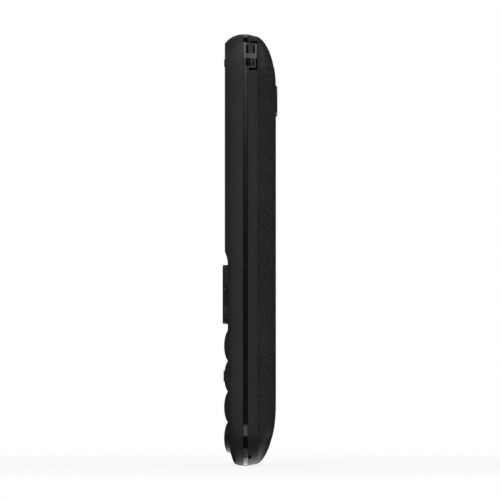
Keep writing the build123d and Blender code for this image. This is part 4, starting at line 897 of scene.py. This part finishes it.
def cutInCells(shape, cell):
    # Cross cuts, so that the flat shape can follow a domed key
    for axis in (0, 1):
        values = [v.co[axis] for v in shape.verts]
        low, width = min(values), max(values) - min(values)
        across = Vector((0, 0, 0))
        across[axis] = 1.0
        count = int(width / cell) + 1
        for i in range(1, count):
            bmesh.ops.bisect_plane(shape, geom=shape.verts[:] + shape.edges[:] + shape.faces[:],
                                   dist=nearly, plane_co=across * (low + width * i / count),
                                   plane_no=across)


def printOn(name, shape, key, centre, ink, m):
    # Lays the shape on the front of a key and gives it the thickness of a coat of ink
    cutInCells(shape, m["cell"])
    tree = treeOf(key)
    for vert in shape.verts:
        x, z = centre[0] + vert.co.x, centre[1] + vert.co.y
        hit = tree.ray_cast(Vector((x, -m["reach"], z)), Vector((0, 1, 0)))[0]
        vert.co = Vector((x, hit.y - m["lift"], z))
    made = bmesh.ops.extrude_face_region(shape, geom=shape.faces[:])["geom"]
    for vert in made:
        if isinstance(vert, bmesh.types.BMVert):
            vert.co.y += m["sink"]
    bmesh.ops.recalc_face_normals(shape, faces=shape.faces)
    return addPiece(name, finishedMesh(name, shape), inks[ink], key)


def middleOf(key):
    low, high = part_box(key)
    return (low.x + high.x) / 2, (low.z + high.z) / 2


for word in "123456789*0#":
    key = {"*": "key_star", "#": "key_hash"}.get(word, "key_" + word)
    size = marks["digitSize"] if word.isdigit() else marks["signSize"]
    x, z = middleOf(key)
    printOn(key.replace("key", "figure"), textShape(word, size, marks), key,
            (x + marks["shift"], z), "white", marks)
for key, tilt, ink in (("call", "callTilt", "green"), ("end", "endTilt", "red")):
    printOn(key + "Mark", handsetShape(marks, marks[tilt]), key + "_key", middleOf(key + "_key"),
            ink, marks)
for side in ("left", "right"):
    key = "soft_key_" + side
    printOn("dash_" + side, dashShape(marks), key, middleOf(key), "white", marks)
print("keys printed")


# Studio: floor, world, lamps, and the panels and flags that the gloss reflects
def onStage(name, work, finish):
    mesh = finishedMesh(name, work)
    mesh.materials.append(finish)
    piece = bpy.data.objects.new(name, mesh)
    bpy.context.scene.collection.objects.link(piece)
    return piece


def seenRays(tree):
    # 1 for rays from the camera and for rays that gloss or glass sends on
    path = addNode(tree, "ShaderNodeLightPath")
    sent = larger(tree, path.outputs["Is Glossy Ray"], path.outputs["Is Transmission Ray"])
    return larger(tree, path.outputs["Is Camera Ray"], sent)


def mixShaders(tree, share, first, second):
    made = addNode(tree, "ShaderNodeMixShader")
    for socket, value in zip(made.inputs, (share, first, second)):
        tree.links.new(value, socket)
    return made.outputs[0]


floorLook = {"radius": 0.35, "drop": 0.05 * mm, "dark": (0.78, 0.78, 0.78),
             "light": (0.82, 0.82, 0.82), "cloud": 30.0, "roughness": 0.7, "glow": 0.82,
             "rim": (0.5, 0.98), "segments": 96}


def makeFloor(f):
    # A pale disc that fades out at its rim; it looks white, with the phone's faint shadow
    work = bmesh.new()
    bmesh.ops.create_circle(work, cap_ends=True, segments=f["segments"], radius=f["radius"])
    made, tree, shader, place = startFinish("floor_finish")
    fromMiddle = addNode(tree, "ShaderNodeVectorMath", operation="LENGTH")
    tree.links.new(place, fromMiddle.inputs[0])
    tone = blendColour(tree, noise(tree, place, f["cloud"]), f["dark"], f["light"])
    tree.links.new(tone, shader.inputs["Base Color"])
    shader.inputs["Roughness"].default_value = f["roughness"]
    glow = addNode(tree, "ShaderNodeEmission", Strength=1.0)
    clear = addNode(tree, "ShaderNodeBsdfTransparent")
    rim = spread(tree, fromMiddle.outputs["Value"], 0.0, 1.0,
                 *(share * f["radius"] for share in f["rim"]))
    partly = mixShaders(tree, times(tree, seenRays(tree), f["glow"]), shader.outputs[0],
                        glow.outputs[0])
    whole = mixShaders(tree, rim, partly, clear.outputs[0])
    tree.links.new(whole, tree.nodes["Material Output"].inputs["Surface"])
    floor = onStage("floorDisc", work, made)
    floor.location.z = cadBox[0].z - f["drop"]
    floor.visible_glossy = False


worldStrength = 0.42


def makeWorld(strength):
    world = bpy.data.worlds.new("studioWorld")
    bpy.context.scene.world = world
    world.use_nodes = True
    tree = world.node_tree
    tree.nodes.clear()
    white = (1, 1, 1, 1)
    soft = addNode(tree, "ShaderNodeBackground", Color=white, Strength=strength)
    plain = addNode(tree, "ShaderNodeBackground", Color=white, Strength=1.0)
    both = mixShaders(tree, seenRays(tree), soft.outputs[0], plain.outputs[0])
    tree.links.new(both, addNode(tree, "ShaderNodeOutputWorld").inputs["Surface"])


lampRig = {"distance": 1.3, "width": 0.9}
lamps = {  # direction towards the lamp, power in watts
    "sideLamp": ((1.0, -0.1, 0.28), 10.5),
    "frontLamp": ((-0.35, -1.0, 0.3), 7.4),
    "backLamp": ((-0.1, 1.0, 0.3), 7.8),
    "farLamp": ((-1.0, 0.0, 0.28), 6.0),
}


def makeLamps(rig):
    for name, (towards, power) in lamps.items():
        data = bpy.data.lights.new(name, "AREA")
        data.shape = "DISK"
        data.size = rig["width"]
        data.energy = power
        lamp = bpy.data.objects.new(name, data)
        bpy.context.scene.collection.objects.link(lamp)
        away = Vector(towards).normalized()
        lamp.location = middle + away * rig["distance"]
        lamp.rotation_euler = away.to_track_quat("Z", "Y").to_euler()
        lamp.visible_glossy = False


panelRig = {"radius": 12.0, "softboxAt": 0.9, "cell": 4.0, "leastCells": 4}
panels = (  # elevation from and to, over the top from +X; turn to +Y from and to; radiance
    ("rimPanel", (134.0, 160.0), (-14.0, 12.0), 0.45),
    ("topFlag", (106.5, 134.0), (-14.0, 12.0), 0.0),
    ("topPanel", (49.0, 106.5), (-14.0, 12.0), 2.1),
    ("topFrontShade", (30.0, 160.0), (-22.0, -14.0), 0.03),
    ("topBackShade", (30.0, 160.0), (12.0, 22.0), 0.03),
    ("cameraFlag", (-9.6, 0.88), (-22.0, 22.0), 0.02),
    ("warmPanel", (-38.0, -12.0), (-22.0, 22.0), 1.6),
    ("lowFlag", (-75.0, -38.0), (-22.0, 22.0), 0.0),
    ("groundPanel", (-111.0, -75.0), (-22.0, 22.0), 0.55),
    ("farPanel", (160.0, 202.0), (-8.0, 8.0), 0.2),
    ("undersidePanel", (-158.0, -111.0), (-11.0, 22.0), 2.4),
    ("undersideShade", (-158.0, -111.0), (-22.0, -11.0), 0.03),
    ("frontShade", (-180.0, 180.0), (-90.0, -22.0), 0.03),
    ("backShade", (-112.0, 210.0), (22.0, 90.0), 0.03),
    ("backGlow", (-150.0, -112.0), (22.0, 44.0), 2.6),
    ("backGlowShade", (-150.0, -112.0), (44.0, 90.0), 0.03),
    ("frontFarShade", (160.0, 202.0), (-22.0, -8.0), 0.03),
    ("backFarShade", (160.0, 202.0), (8.0, 22.0), 0.03),
)
panelTints = {"warmPanel": (1.0, 0.94, 0.88)}              # the others are white
softboxes = (  # direction from the phone, half width and half height in degrees, radiance
    ("frontSoftbox", (0.1, -1.0, 1.0), (16.0, 4.0), 2.4),
    ("backSoftbox", (-0.3, 1.0, 0.75), (22.0, 4.0), 2.6),
)


def stagePatch(name, corners, radiance):
    # A glowing sheet that only reflections see; corners is a grid of points
    work = bmesh.new()
    grid = [[work.verts.new(point) for point in line] for line in corners]
    for low, high in zip(grid, grid[1:]):
        for j in range(len(low) - 1):
            work.faces.new((low[j], low[j + 1], high[j + 1], high[j]))
    made, tree, _ = blankMaterial(name + "_finish")
    tint = panelTints.get(name, (1, 1, 1))
    glow = addNode(tree, "ShaderNodeEmission", Color=(*tint, 1.0), Strength=radiance)
    tree.links.new(glow.outputs[0], tree.nodes["Material Output"].inputs["Surface"])
    panel = onStage(name, work, made)
    panel.visible_camera = False
    panel.visible_diffuse = False
    panel.visible_shadow = False


def spacedAngles(span, rig):
    low, high = span
    count = max(rig["leastCells"], int((high - low) / rig["cell"]))
    return [math.radians(low + (high - low) * i / count) for i in range(count + 1)]


def pointOnSphere(elevation, turn, rig):
    ray = Vector((math.cos(elevation) * math.cos(turn), math.sin(turn),
                  math.sin(elevation) * math.cos(turn)))
    return middle + ray * rig["radius"]


def makePanels(rig):
    # Patches of a far sphere, and two flat soft boxes
    for name, elevations, turns, radiance in panels:
        corners = [[pointOnSphere(elevation, turn, rig) for turn in spacedAngles(turns, rig)]
                   for elevation in spacedAngles(elevations, rig)]
        stagePatch(name, corners, radiance)
    for name, towards, (halfWidth, halfHeight), radiance in softboxes:
        away = Vector(towards).normalized()
        side = away.cross(Vector((0, 0, 1))).normalized() * math.tan(math.radians(halfWidth))
        rise = side.cross(away).normalized() * math.tan(math.radians(halfHeight))
        near = rig["softboxAt"] * rig["radius"]
        corners = [[middle + (away + side * a + rise * b) * near for a in (-1, 1)]
                   for b in (-1, 1)]
        stagePatch(name, corners, radiance)


makeFloor(floorLook)
makeWorld(worldStrength)
makeLamps(lampRig)
makePanels(panelRig)
print("studio set")
